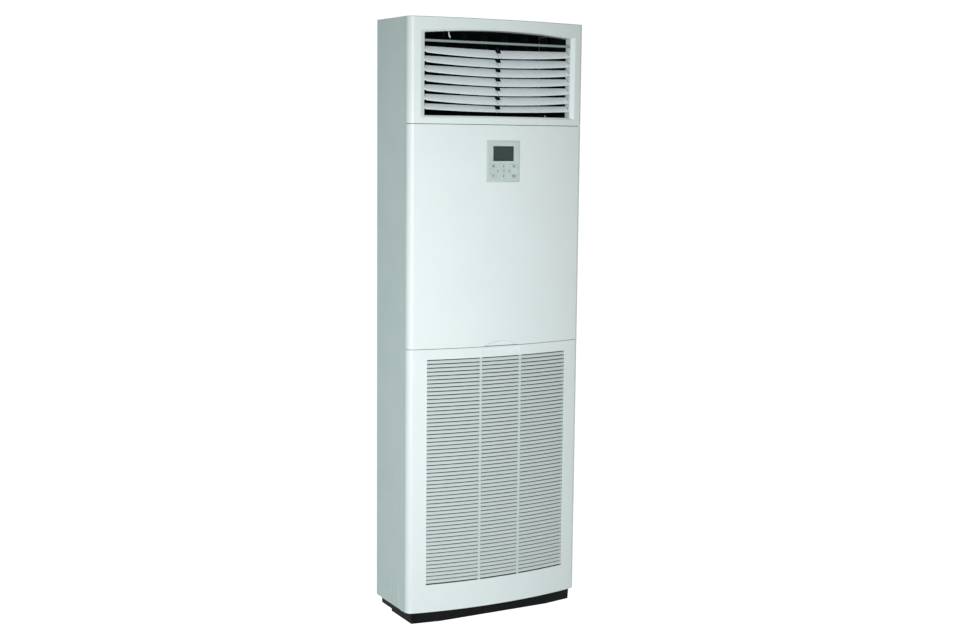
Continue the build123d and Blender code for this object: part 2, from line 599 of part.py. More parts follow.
def outlet_frame():
    """Moulded outlet surround: bevelled opening and a deep reveal that holds the louvre pins."""
    frame = moulding(FRAME_LOW, FRAME_TOP)
    skin = front_block(0, FRAME_LOW, FRAME_TOP, REVEAL_BACK)
    rim = skin - front_block(RIM_DEPTH, FRAME_LOW - FAR, FRAME_TOP + FAR, REVEAL_BACK + FAR)
    frame += prism_y(opening_face(RIM_W), FRONT - FAR, REVEAL_BACK) & rim
    frame += prism_y(opening_face(SHELL), FRONT - FAR, REVEAL_BACK) & skin
    frame -= prism_y(opening_face(0), FRONT - FAR, REVEAL_BACK + FAR)
    edges = [e for e in frame.edges() if is_front_edge(e)]
    frame = chamfer(edges, BEVEL)
    hole = OPENING_HALF + SHELL + FAR
    for z in louvre_heights():
        frame -= socket((-hole, LOUVRE_Y, z), (hole, LOUVRE_Y, z), PIN_R + RUNNING)
    return frame


def is_front_edge(edge):
    """True for an edge where the outlet opening meets the bowed front."""
    spot = edge @ 0.5
    inside = abs(spot.X) < OPENING_HALF + 0.1 and OPENING_LOW - 0.1 < spot.Z < OPENING_CROWN + 0.1
    return inside and abs(spot.Y - bow_y(spot.X)) < 0.1


def outlet_rail():
    """Fixed rail across the top of the outlet."""
    half = OPENING_HALF - FIT
    rail = Pos(0, RAIL_Y, RAIL_Z) * Box(2 * half, RAIL_D, RAIL_H)
    return chamfer(rail.edges().filter_by(Axis.X).group_by(Axis.Y)[0], 2)


# ---- Louvres ------------------------------------------------------------------------------
def louvre_plane(z):
    """Plane of a blade through its pivot: local X along it, local Y towards its front edge."""
    tilt = radians(TILT)
    return Plane(origin=(0, LOUVRE_Y, z), x_dir=(1, 0, 0), z_dir=(0, sin(tilt), -cos(tilt)))


def blade_face(front_end, front_mid):
    """Blade outline: bowed front and rear edges, with a notch for the link at the middle."""
    half = LOUVRE_HALF
    front = ThreePointArc((-half, front_end), (0, front_mid), (half, front_end))
    rear = Polyline((half, -REAR_END), (0, -REAR_MID), (-half, -REAR_END))
    ends = [Line((half, front_end), (half, -REAR_END)), Line((-half, -REAR_END), (-half, front_end))]
    face = make_face([*front.edges(), *rear.edges(), *[e for line in ends for e in line.edges()]])
    top, floor = NOTCH_W / 2, NOTCH_FLOOR_W / 2
    deep = REAR_MID + 5
    notch = [(-top, -deep), (top, -deep), (floor, -NOTCH_TO_PIVOT), (-floor, -NOTCH_TO_PIVOT)]
    return face - make_face(Polyline(*notch, close=True).edges())


def louvre(index):
    """A louvre blade with its end pins and the lug and pin for the link."""
    z = louvre_heights()[index]
    last = index == LOUVRES - 1
    plane = louvre_plane(z)
    face = blade_face(LAST_END, LAST_MID) if last else blade_face(FRONT_END, FRONT_MID)
    blade = extrude(plane * face, LOUVRE_T / 2, both=True)
    tip = OPENING_HALF + SHELL - FIT
    left = tip + MOTOR_FLANGE_T + MOTOR_BORE if index == LOUVRES // 2 else tip
    blade += peg((LOUVRE_HALF - 8, LOUVRE_Y, z), (tip, LOUVRE_Y, z), PIN_R)
    blade += peg((-left, LOUVRE_Y, z), (8 - LOUVRE_HALF, LOUVRE_Y, z), PIN_R)
    lug_x = LINK_T / 2 + 2 * FIT
    lug = Pos(-lug_x - LUG_T / 2, -(LINK_REACH + 2) / 2, 0) * Box(LUG_T, LINK_REACH + 2, 3)
    blade += plane * lug
    y, pin_z = louvre_link_pin(z)
    return blade + peg((-lug_x - 1, y, pin_z), (lug_x, y, pin_z), LINK_PIN_R)


def louvre_link_pin(z):
    """Where the link pin of the louvre at this height lies."""
    tilt = radians(TILT)
    return LOUVRE_Y + LINK_REACH * cos(tilt), z + LINK_REACH * sin(tilt)


def louvre_link():
    """Upright bar that keeps all louvres parallel."""
    pins = [louvre_link_pin(z) for z in louvre_heights()]
    y, half, end = pins[0][0], LINK_T / 2, LINK_W + 1
    bar = box(-half, half, y - LINK_W / 2, y + LINK_W / 2, pins[-1][1] - end, pins[0][1] + end)
    for _, z in pins:
        bar -= socket((-half - FAR, y, z), (half + FAR, y, z), LINK_PIN_R + RUNNING)
    return bar


def stepper(bore_r):
    """Small stepper motor along +Z from its flange, with two ears and a bore for a pin."""
    body = Pos(0, MOTOR_OFFSET)
    motor = extrude(body * RegularPolygon(MOTOR_R, 16), MOTOR_L)
    motor += extrude(body * Rectangle(2 * MOTOR_R + 16, 7), MOTOR_FLANGE_T)
    return motor - socket((0, 0, -1), (0, 0, MOTOR_FLANGE_T + MOTOR_BORE + FIT), bore_r)


def louvre_motor():
    """Stepper outside the left reveal, on the middle louvre's axis."""
    z = louvre_heights()[LOUVRES // 2]
    x = -(OPENING_HALF + SHELL)
    return Pos(x, LOUVRE_Y, z) * Rot(0, -90, 0) * stepper(PIN_R + RUNNING)


# ---- Vanes --------------------------------------------------------------------------------
def vane_places():
    """Sideways places of the vanes, from the left."""
    return [(i - (VANES - 1) / 2) * VANE_PITCH for i in range(VANES)]


def vane(index):
    """An upright vane with pivot pins at both ends and a link pin at its foot."""
    x = vane_places()[index]
    low, high = OPENING_LOW + VANE_LOW_GAP, OPENING_CROWN - VANE_HIGH_GAP
    blade = box(x - VANE_T / 2, x + VANE_T / 2, VANE_Y - VANE_FRONT, VANE_Y + VANE_REAR, low, high)
    tip = OPENING_CROWN + DUCT_WALL - FIT
    if index == 1:
        tip = OPENING_CROWN + DUCT_WALL + MOTOR_FLANGE_T + MOTOR_BORE - FIT
    blade += peg((x, VANE_Y, high - 6), (x, VANE_Y, tip), PIN_R)
    blade += peg((x, VANE_Y, OPENING_LOW - DUCT_WALL + FIT), (x, VANE_Y, low + 6), PIN_R)
    y = VANE_Y + VANE_REACH
    return blade + peg((x, y, bar_low() - FIT), (x, y, low + 6), LINK_PIN_R)


def bar_low():
    """Underside of the vanes' link bar."""
    return OPENING_LOW + VANE_LOW_GAP - 2 * FIT - BAR_T - 1


def vane_link():
    """Bar that keeps all vanes parallel."""
    places, y = vane_places(), VANE_Y + VANE_REACH
    length = places[-1] - places[0] + 2 * BAR_W
    bar = Pos(0, y, bar_low() + BAR_T / 2) * Box(length, BAR_W, BAR_T)
    for x in places:
        bar -= socket((x, y, bar_low() - FAR), (x, y, bar_low() + FAR), LINK_PIN_R + RUNNING)
    return bar


def vane_motor():
    """Stepper on the duct's roof, on the second vane's axis."""
    turned = Rot(0, 0, 90) * stepper(PIN_R + RUNNING)
    return Pos(vane_places()[1], VANE_Y, OPENING_CROWN + DUCT_WALL) * turned


def air_duct():
    """Sleeve behind the outlet frame, which carries the vanes."""
    front = REVEAL_BACK + FIT
    low, high, half = OPENING_LOW, OPENING_CROWN, OPENING_HALF
    wall, lip = DUCT_WALL, DUCT_WALL + DUCT_FLANGE
    duct = box(-half - wall, half + wall, front, DUCT_BACK, low - wall, high + wall)
    for y in (front, DUCT_BACK - wall):
        duct += box(-half - lip, half + lip, y, y + wall, low - lip, high + lip)
    duct -= box(-half, half, front - FAR, DUCT_BACK + FAR, low, high)
    for x in vane_places():
        duct -= socket((x, VANE_Y, low - FAR), (x, VANE_Y, high + FAR), PIN_R + RUNNING)
    return duct


def sensor_clip():
    """Pale clip with the outlet air sensor, hung from the duct's roof."""
    top, half, wall = OPENING_CROWN, SENSOR_HALF, 2.0
    left, right = SENSOR_X - half, SENSOR_X + half
    front, back = SENSOR_Y - half, SENSOR_Y + half
    clip = box(left, right, front, back, top - wall, top)
    clip += box(left, left + wall, front, back, SENSOR_Z, top)
    clip += box(right - wall, right, front, back, SENSOR_Z, top)
    return clip + peg((left, SENSOR_Y, SENSOR_Z + half), (right, SENSOR_Y, SENSOR_Z + half), SENSOR_R)


# ---- Controller ---------------------------------------------------------------------------
def key_list():
    """Name, place and size of each key, with X and Z from the middle of the keypad."""
    small, corner, row = SMALL_KEY, CORNER_KEY, KEY_ROW
    return [
        ("up", 0, row, small),
        ("down", 0, -row, small),
        ("enter", 0, 0, small),
        ("left", -SIDE_KEY_X, 0, small),
        ("right", SIDE_KEY_X, 0, small),
        ("mode", -CORNER_KEY_X, row, corner),
        ("fan", CORNER_KEY_X, row, corner),
        ("power", -CORNER_KEY_X, -row, corner),
        ("menu", CORNER_KEY_X, -row, corner),
    ]


def controller_case():
    """Controller housing: a shallow case with windows for the screen and the keys."""
    face_y, half, rise = CASE_FACE, CASE_W / 2, CASE_H / 2
    case = box(-half, half, face_y, face_y + CASE_D, CASE_Z - rise, CASE_Z + rise)
    case = chamfer(case.faces().sort_by(Axis.Y)[0].edges(), 0.6)
    lip_y = bow_y(half + CASE_LIP, SHELL) + FIT
    lip, lip_rise = half + CASE_LIP, rise + CASE_LIP
    case += box(-lip, lip, lip_y, lip_y + CASE_WALL, CASE_Z - lip_rise, CASE_Z + lip_rise)
    wall, hollow = CASE_WALL, 2 * CASE_D
    case -= Pos(0, face_y + wall + hollow / 2, CASE_Z) * Box(CASE_W - 2 * wall, hollow, CASE_H - 2 * wall)
    screen_z, w, h = CASE_Z + SCREEN_UP, SCREEN_W / 2, SCREEN_H / 2
    case -= box(-w, w, face_y - FAR, face_y + CASE_D, screen_z - h, screen_z + h)
    for _, x, z, (w, h) in key_list():
        z += CASE_Z + KEY_MID
        w, h = w / 2 + KEY_GAP, h / 2 + KEY_GAP
        case -= box(x - w, x + w, face_y - FAR, face_y + CASE_D, z - h, z + h)
    return case


def controller_screen():
    """Display glass behind its window."""
    z, w, h = CASE_Z + SCREEN_UP, SCREEN_W / 2 + 2, SCREEN_H / 2 + 2
    back = CASE_FACE + CASE_WALL
    return box(-w, w, back, back + 2, z - h, z + h)


def key(x, z, size):
    """A key cap with the flange that holds it behind the case's face."""
    z += CASE_Z + KEY_MID
    w, h = size[0] / 2, size[1] / 2
    back = CASE_FACE + CASE_WALL + FIT
    cap = box(x - w, x + w, CASE_FACE - KEY_PROUD, back + KEY_FLANGE, z - h, z + h)
    cap = chamfer(cap.faces().sort_by(Axis.Y)[0].edges(), 0.4)
    return cap + box(x - w - 1, x + w + 1, back, back + KEY_FLANGE, z - h - 1, z + h + 1)


# ---- Fan ----------------------------------------------------------------------------------
def bulkhead():
    """Sheet behind the filter with the fan's bell mouth, flanged to the posts and plinth."""
    half, low, high, y = POST_IN - FIT, BASE_H, BULKHEAD_TOP, BULKHEAD_Y
    sheet = box(-half, half, y, y + SHEET, low, high)
    sheet += both_sides(box(half - SHEET, half, y, y + FLANGE, low, high))
    sheet += box(-half, half, y, y + FLANGE, low, low + SHEET)
    sheet += box(-half, half, y, y + FLANGE, high - SHEET, high)
    centre = Pos(FAN_X, 0, FAN_Z)
    sheet += centre * funnel(SHEET)
    return sheet - centre * funnel(0)


def funnel(wall):
    """Inlet ring's inner or outer form: narrows backwards from the bulkhead at 45 degrees."""
    back = BULKHEAD_Y + BELL_R
    throat = Plane.XZ.offset(-back) * RegularPolygon(INLET_R + wall, RIM_SIDES)
    return extrude(throat, BELL_R + (0 if wall else 1), taper=-45)


def volute(grow):
    """Scroll outline in X and Z: quarter turns that grow by one step each, and a throat."""
    s, r = VOLUTE_STEP / 2, VOLUTE_R + grow
    quarters = [(s, -s, r, TONGUE_ANGLE, 0), (-s, -s, r + 2 * s, 0, -90), (-s, s, r + 4 * s, -90, -180)]
    points = []
    for x, z, radius, start, end in quarters:
        for step in range(CHORDS):
            turn = radians(start + (end - start) * step / CHORDS)
            points.append((x + radius * cos(turn), z + radius * sin(turn)))
    top, right = DECK_Z - FAN_Z, DECK_RIGHT - FAN_X + grow
    left = -s - r - 4 * s
    points += [(left, s), (left, top), (right, top)]
    return make_face(Polyline(*points, close=True).edges())


def fan_scroll():
    """Sheet scroll round the wheel, with its back plate and the deck that carries it."""
    front = BULKHEAD_Y + SHEET + FIT
    back = WHEEL_BACK + SCROLL_BACK_GAP
    centre = Pos(FAN_X, 0, FAN_Z)
    wrap = centre * prism_y(volute(SHEET), front, back + SHEET)
    half, deck_front = POST_IN - FIT, BULKHEAD_Y + FLANGE + FIT
    wrap += box(-half, half, deck_front, INSIDE_BACK, DECK_Z - SHEET, DECK_Z)
    wrap -= centre * prism_y(volute(0), front - FAR, back)
    left, right = volute_throat()
    wrap -= box(left, right, front - FAR, back, DECK_Z - 3, DECK_Z + FAR)
    hole = SHAFT_R + 6
    return wrap - socket((FAN_X, back - FAR, FAN_Z), (FAN_X, back + FAR, FAN_Z), hole)


def volute_throat():
    """Left and right ends of the scroll's outlet in the deck."""
    left = FAN_X - VOLUTE_STEP / 2 - VOLUTE_R - 2 * VOLUTE_STEP
    return left, DECK_RIGHT - 2


def wheel_blade():
    """Forward leaning blade at the top of the wheel, drawn in X and Z."""
    inner, outer = WHEEL_BORE_R + 1, WHEEL_R - 1
    corners = [(0, inner), (BLADE_LEAN, outer), (BLADE_LEAN + BLADE_T, outer), (BLADE_T, inner)]
    return make_face(Polyline(*corners, close=True).edges())


def fan_wheel():
    """Squirrel cage wheel: back plate, shroud ring, leaning blades, hub and shaft."""
    front, back = WHEEL_FRONT, WHEEL_BACK
    blade = prism_y(wheel_blade(), front + 1, back - 1)
    blades = [Rot(0, i * 360 / BLADES, 0) * blade for i in range(BLADES)]
    rim, bore = RegularPolygon(WHEEL_R, RIM_SIDES), RegularPolygon(WHEEL_BORE_R, RIM_SIDES)
    plate = prism_y(rim, back - RIM_T, back)
    shroud = prism_y(rim - bore, front, front + RIM_T)
    hub = peg((0, back - HUB_L, 0), (0, back, 0), HUB_R)
    shaft = peg((0, back - 1, 0), (0, back + SHAFT_L, 0), SHAFT_R, PIPE_SIDES)
    wheel = plate.fuse(shroud, hub, shaft, *blades)
    return Pos(FAN_X, 0, FAN_Z) * wheel


def fan_motor():
    """Fan motor behind the scroll, with a bore for the wheel's shaft."""
    front = MOTOR_FRONT
    outline = Pos(FAN_X, FAN_Z) * RegularPolygon(FAN_MOTOR_R, FAN_MOTOR_SIDES)
    motor = prism_y(outline, front, front + FAN_MOTOR_L)
    start, end = (FAN_X, front - FAR, FAN_Z), (FAN_X, WHEEL_BACK + SHAFT_L + 1, FAN_Z)
    return motor - socket(start, end, SHAFT_R + RUNNING, PIPE_SIDES)


def motor_bracket():
    """Plate and four legs that hold the fan motor to the scroll."""
    y0, y1 = WHEEL_BACK + SCROLL_BACK_GAP + SHEET, MOTOR_FRONT + FAN_MOTOR_L / 2
    reach = FAN_MOTOR_R + BRACKET_RIM
    hole = RegularPolygon(FAN_MOTOR_R + FIT, 8, major_radius=False)
    frame = prism_y(Rectangle(2 * reach, 2 * reach) - hole, y1 - 2, y1)
    for x in (-reach, reach - BRACKET_LEG):
        for z in (-reach, reach - BRACKET_LEG):
            frame += box(x, x + BRACKET_LEG, y0, y1, z, z + BRACKET_LEG)
    return Pos(FAN_X, 0, FAN_Z) * frame


# ---- Coil, drain and pipes ----------------------------------------------------------------
def coil_place():
    """Frame of the leaning coil: local Z runs up it and local Y through it."""
    return Pos(0, COIL_Y, COIL_Z) * Rot(COIL_LEAN, 0, 0)


def coil_fins():
    """Fin pack, with grooves that stand for the gaps between its fins."""
    middle, width = (COIL_LEFT + COIL_RIGHT) / 2, COIL_RIGHT - COIL_LEFT
    pack = Pos(middle, 0, 0) * Box(width, COIL_T, COIL_L)
    groove_w, groove_d = FIN_GROOVE
    count = int(width / FIN_STEP) - 1
    tools = []
    for i in range(count):
        x = COIL_LEFT + (i + 1) * width / (count + 1)
        tools += (Pos(x, -COIL_T / 2, 0) * Box(groove_w, 2 * groove_d, COIL_L + FAR)).solids()
    return coil_place() * pack.cut(*tools)


def coil_end_plates():
    """Sheet plates at both ends of the coil, which stand in the drain pan."""
    half = COIL_T / 2 + PLATE_OVER
    drop = COIL_Z - half * COIL_SIN - (PAN_LOW + PAN_WALL + FIT)
    low = drop / COIL_COS
    height = low + COIL_L / 2
    plate = Pos(0, 0, (COIL_L / 2 - low) / 2) * Box(PLATE_T, 2 * half, height)
    left = Pos(COIL_LEFT - PLATE_T / 2, 0, 0) * plate
    return coil_place() * (left + Pos(COIL_RIGHT + PLATE_T / 2, 0, 0) * plate)


def tube_rows():
    """Heights of the tube rows along the coil."""
    step = COIL_L / TUBE_ROWS
    return [(i + 0.5) * step - COIL_L / 2 for i in range(TUBE_ROWS)]


def coil_tubes():
    """Return bends at the left end, and stubs with two headers at the right end."""
    right, left = COIL_RIGHT + PLATE_T, COIL_LEFT - PLATE_T
    top = tube_rows()[-1] + 4 * TUBE_R
    tubes = peg((HEADER_X, TUBE_FRONT, -top), (HEADER_X, TUBE_FRONT, top), GAS_R, PIPE_SIDES)
    tubes += peg((HEADER_X, TUBE_BACK, -top), (HEADER_X, TUBE_BACK, top), LIQUID_R + 1, PIPE_SIDES)
    for z in tube_rows():
        tubes += peg((right, TUBE_FRONT, z), (HEADER_X, TUBE_FRONT, z), TUBE_R)
        tubes += peg((right, TUBE_BACK, z), (HEADER_X, TUBE_BACK, z), TUBE_R - 1)
    width = TUBE_BACK - TUBE_FRONT + 2 * TUBE_R
    bend = extrude(Rectangle(width, 2 * TUBE_R), BEND_OUT)
    bend = chamfer(bend.edges().group_by(Axis.Z)[-1], BEND_EDGE)
    for z in tube_rows():
        tubes += Pos(left, 0, z) * Rot(0, -90, 0) * Rot(0, 0, 90) * bend
    return coil_place() * tubes


def header_spot(across):
    """Y and Z of the lowest tube's joint on a header, out of the coil's own frame."""
    along = tube_rows()[0]
    return COIL_Y + across * COIL_COS - along * COIL_SIN, COIL_Z + across * COIL_SIN + along * COIL_COS


def drop_pipe(radius, header_r, across):
    """Pipe from a header out to the side and down to a flare nut and a sealed free end."""
    y, z = header_spot(across)
    nut_low = PIPE_END + NUT_UP
    pipe = peg((HEADER_X + header_r, y, z), (PIPE_X, y, z), radius, PIPE_SIDES)
    pipe += peg((PIPE_X, y, nut_low), (PIPE_X, y, z + radius), radius, PIPE_SIDES)
    pipe += rod((PIPE_X, y, PIPE_END), (PIPE_X, y, nut_low + 1), radius)
    return pipe + Pos(PIPE_X, y, nut_low) * extrude(RegularPolygon(radius * NUT_SPREAD, 6), NUT_L)


def gas_pipe():
    """Thick gas pipe from the front header."""
    return drop_pipe(GAS_R, GAS_R, TUBE_FRONT)


def liquid_pipe():
    """Thin liquid pipe from the rear header."""
    return drop_pipe(LIQUID_R, LIQUID_R + 1, TUBE_BACK)


def drain_pan():
    """Tray under the coil with a hose spigot in its floor."""
    half, front, back, wall = PAN_HALF, PAN_FRONT, INSIDE_BACK, PAN_WALL
    pan = box(-half, half, front, back, PAN_LOW, PAN_LOW + PAN_H)
    floor, rim = PAN_LOW + wall, PAN_LOW + PAN_H + FAR
    pan -= box(wall - half, half - wall, front + wall, back - wall, floor, rim)
    spot = (SPIGOT_X, SPIGOT_Y)
    pan += rod((*spot, PAN_LOW - SPIGOT_L), (*spot, PAN_LOW + 1), SPIGOT_R)
    return pan - peg((*spot, PAN_LOW - FAR - SPIGOT_L), (*spot, PAN_LOW + FAR), SPIGOT_R - 2)


# ---- Electrics ----------------------------------------------------------------------------
def electrical_box():
    """Open sheet tray on the left post, behind the centre panel."""
    front, wall = BULKHEAD_Y + SHEET, SHEET
    tray = box(BOX_LEFT, BOX_RIGHT, front, BOX_BACK, BOX_LOW, BOX_HIGH)
    left, right = BOX_LEFT + wall, BOX_RIGHT - wall
    return tray - box(left, right, front - FAR, BOX_BACK - wall, BOX_LOW + wall, BOX_HIGH - wall)


def control_board():
    """Circuit board on the box's back, with its relays and capacitor."""
    back, left = BOX_BACK - SHEET, BOX_LEFT + BOARD_IN
    low, high = BOX_LOW + BOARD_MARGIN, BOX_HIGH - BOARD_MARGIN
    face = back - BOARD_T
    board = box(left, left + BOARD_W, face, back, low, high)
    for i in range(RELAYS):
        x = left + BOARD_MARGIN + i * (BOARD_W - BOARD_MARGIN) / RELAYS
        board += box(x, x + RELAY_W, face - RELAY_D, back - 1, low + RELAY_H, low + 2 * RELAY_H)
    x, z = left + BOARD_W / 2, high - 2 * CAPACITOR_R
    return board + peg((x, face - CAPACITOR_L, z), (x, back - 1, z), CAPACITOR_R)


def terminal_block():
    """Row of power terminals beside the board."""
    back, low = BOX_BACK - SHEET, BOX_LOW + BOARD_MARGIN
    left = BOX_RIGHT - BLOCK_IN - BLOCK_W
    front, middle = back - BLOCK_D, back - BLOCK_D / 2
    block = box(left, left + BLOCK_W, front, back, low, low + BLOCK_H)
    step = BLOCK_W / POLES
    for i in range(POLES):
        x, margin = left + (i + 0.5) * step - POLE_W / 2, BLOCK_H / 6
        block -= box(x, x + POLE_W, front - 1, middle, low + margin, low + BLOCK_H - margin)
    return block


def all_parts():
    """Every piece by name."""
    right = side_panel()
    parts = {
        "base_tray": base_tray(),
        "side_panel_right": right,
        "side_panel_left": mirror(right, about=Plane.YZ),
        "rear_panel": rear_panel(),
        "top_panel": top_panel(),
        "corner_posts": posts(),
        "outlet_frame": outlet_frame(),
        "outlet_rail": outlet_rail(),
        "centre_panel": centre_panel(),
        "intake_grille": intake_grille(),
        "hinge_brackets": hinge_brackets(),
        "grille_catches": grille_catches(),
        "filter_frame": filter_frame(),
        "filter_net": filter_net(),
        "fan_bulkhead": bulkhead(),
        "fan_scroll": fan_scroll(),
        "fan_wheel": fan_wheel(),
        "fan_motor": fan_motor(),
        "motor_bracket": motor_bracket(),
        "coil_fins": coil_fins(),
        "coil_end_plates": coil_end_plates(),
        "coil_tubes": coil_tubes(),
        "drain_pan": drain_pan(),
        "gas_pipe": gas_pipe(),
        "liquid_pipe": liquid_pipe(),
        "electrical_box": electrical_box(),
        "control_board": control_board(),
        "terminal_block": terminal_block(),
        "controller_case": controller_case(),
        "controller_screen": controller_screen(),
        "louvre_link": louvre_link(),
        "louvre_motor": louvre_motor(),
        "vane_link": vane_link(),
        "vane_motor": vane_motor(),
        "air_duct": air_duct(),
        "sensor_clip": sensor_clip(),
    }
    for i in range(LOUVRES):
        parts[f"louvre_{i + 1}"] = louvre(i)
    for i in range(VANES):
        parts[f"vane_{i + 1}"] = vane(i)
    for name, x, z, size in key_list():
        parts[f"button_{name}"] = key(x, z, size)
    return parts


os.makedirs("parts", exist_ok=True)
for name, shape in all_parts().items():
    export_step(shape, f"parts/{name}.step")
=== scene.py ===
import json
from math import asin, cos, pi, radians, sin, sqrt

import bmesh
import bpy
from bpy.props import FloatProperty, FloatVectorProperty, IntProperty, PointerProperty
from mathutils import Matrix, Vector


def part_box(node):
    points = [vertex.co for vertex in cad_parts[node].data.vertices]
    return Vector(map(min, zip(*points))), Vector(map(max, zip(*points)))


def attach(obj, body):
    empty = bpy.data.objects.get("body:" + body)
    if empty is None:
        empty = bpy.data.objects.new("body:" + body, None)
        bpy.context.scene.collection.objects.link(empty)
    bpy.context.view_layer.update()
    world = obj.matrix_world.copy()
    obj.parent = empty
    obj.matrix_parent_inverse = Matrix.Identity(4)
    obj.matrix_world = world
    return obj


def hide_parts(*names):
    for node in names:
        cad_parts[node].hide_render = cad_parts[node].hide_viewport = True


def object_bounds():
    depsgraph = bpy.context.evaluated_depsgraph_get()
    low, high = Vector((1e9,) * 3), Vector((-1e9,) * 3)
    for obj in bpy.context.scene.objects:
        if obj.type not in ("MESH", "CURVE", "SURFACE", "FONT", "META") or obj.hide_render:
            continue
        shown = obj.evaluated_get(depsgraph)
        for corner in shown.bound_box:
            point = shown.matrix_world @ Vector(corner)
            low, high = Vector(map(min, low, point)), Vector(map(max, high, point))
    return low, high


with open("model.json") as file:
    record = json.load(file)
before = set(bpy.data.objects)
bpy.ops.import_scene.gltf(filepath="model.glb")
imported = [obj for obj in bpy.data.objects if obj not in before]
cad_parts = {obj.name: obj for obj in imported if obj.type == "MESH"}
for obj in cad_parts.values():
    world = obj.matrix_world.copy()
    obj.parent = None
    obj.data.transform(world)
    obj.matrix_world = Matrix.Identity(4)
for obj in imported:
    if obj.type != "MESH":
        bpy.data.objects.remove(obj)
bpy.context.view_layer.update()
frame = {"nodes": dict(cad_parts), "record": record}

bl_info = {
    "name": "Floor Standing Air Conditioner",
    "version": (1, 0, 0),
    "blender": (4, 5, 0),
    "location": "3D View > Sidebar > Air Conditioner",
    "description": "Models a tall air conditioner with louvres, a keypad and a slatted door",
    "category": "Add Mesh",
}

MM = 0.001
TINY = 0.00005
FINE = 0.3 * MM  # rounding along the edges of small parts
CASING_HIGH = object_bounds()[1]
HALF_WIDTH = CASING_HIGH.x
SURROUND_LOW, SURROUND_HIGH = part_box("outlet_frame")
FRONT, MOULDING_BACK = SURROUND_LOW.y, SURROUND_HIGH.y
BOW_BACK = FRONT + 45 * MM  # all of the bow stands before this
FILTER_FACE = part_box("filter_frame")[0].y
KEYS = [name for name in frame["nodes"] if name.startswith("button_")]
JOINTS = frame["record"]["behaviour"]["joints"]
SIDES = (-1, 1)

# The backdrop's width, depth, bend and wall, in metres
BACKDROP_WIDTH, BACKDROP_DEPTH, BACKDROP_BEND, BACKDROP_WALL = 60, 30, 3, 9
LAMP_PLACE, LAMP_TARGET = (-1.95, -2.88, 1.3), (0, -0.1, 0.8)
CAMERA_PLACE = (-2.202, -4.141, 1.515)
CAMERA_YAW, CAMERA_PITCH, CAMERA_ROLL = radians(29.886), radians(7.164), radians(0.799)
CAMERA_SHIFT, SENSOR_WIDTH = -0.0521, 36

# Heights of the screws at the back, and their places across its upper edge
SCREW_HEIGHTS, SCREW_PLACES = (0.09, 0.5, 0.93, 1.36, 1.8), (-0.2, 0, 0.2)
# Size of the black foam mat behind the outlet, which also stands in for the shade deep inside it
LINING_HALF, LINING_LOW, LINING_HIGH = 0.262, 1.5, 1.83

# The knock-out's straight ridges: place from front to back, foot and head, in millimetres
KNOCK_OUT = ((23, 70, 86), (23, 105, 126), (-32, 68, 112))
# Bends of the groove over the arrow keys: across and up from the middle key, in millimetres
GROOVE = ((-20.5, 17.0), (-11.5, 24.0), (11.5, 24.0), (20.5, 17.0))
# How far each arrow key's mark is turned from pointing up
ARROWS = {"button_up": 0, "button_right": pi / 2, "button_down": pi, "button_left": -pi / 2}


# ---- Sizes and colours --------------------------------------------------------------------
def length(name, default, description):
    """A length that a user can change, its default given in millimetres."""
    return FloatProperty(
        name=name, default=default * MM, description=description, unit="LENGTH", precision=5
    )


def angle(name, default, description):
    """An angle that a user can change, its default given in degrees."""
    return FloatProperty(
        name=name, default=radians(default), description=description, subtype="ANGLE"
    )


def colour(name, red, green, blue, description):
    """A colour that a user can change, written as it looks on a screen."""
    written = [part / 255 for part in (red, green, blue)]
    linear = [((part + 0.055) / 1.055) ** 2.4 for part in written]
    return FloatVectorProperty(
        name=name, default=linear, description=description, subtype="COLOR", min=0, max=1
    )


class CasingSizes(bpy.types.PropertyGroup):
    """Sizes that the three moulded fronts and the sheet panels share."""

    bow_rise: length("Bow rise", 34.7, "How far the middle of the front stands before its sides")
    corner: length("Corner radius", 20, "Radius of the upright front corners")
    wall: length("Wall", 3, "Thickness of the moulded fronts")
    edge: length("Soft edge", 0.7, "Rounding along the edges of the moulded fronts")
    sheet: length("Sheet", 1, "Thickness of the steel panels")
    fold: length("Fold radius", 2.2, "Outer radius where the steel is folded")
    lip_gap: length("Lip gap", 1.3, "From the fronts' flanges to the filter behind them")
    arch_half: length("Arch half width", 60, "Half the width of the finger pocket's arch")
    arch_rise: length("Arch rise", 15, "Height of the finger pocket's arch")
    arch_round: length("Arch rounding", 2.2, "Rounding along the finger pocket's arch")
    pocket: length("Pocket depth", 9, "Depth of the finger pocket")
    flange: length("Flange", 16, "Width of the side panels' folded edges")
    ridge: length("Ridge", 0.4, "How far the knock-out's outline stands out of the side panel")


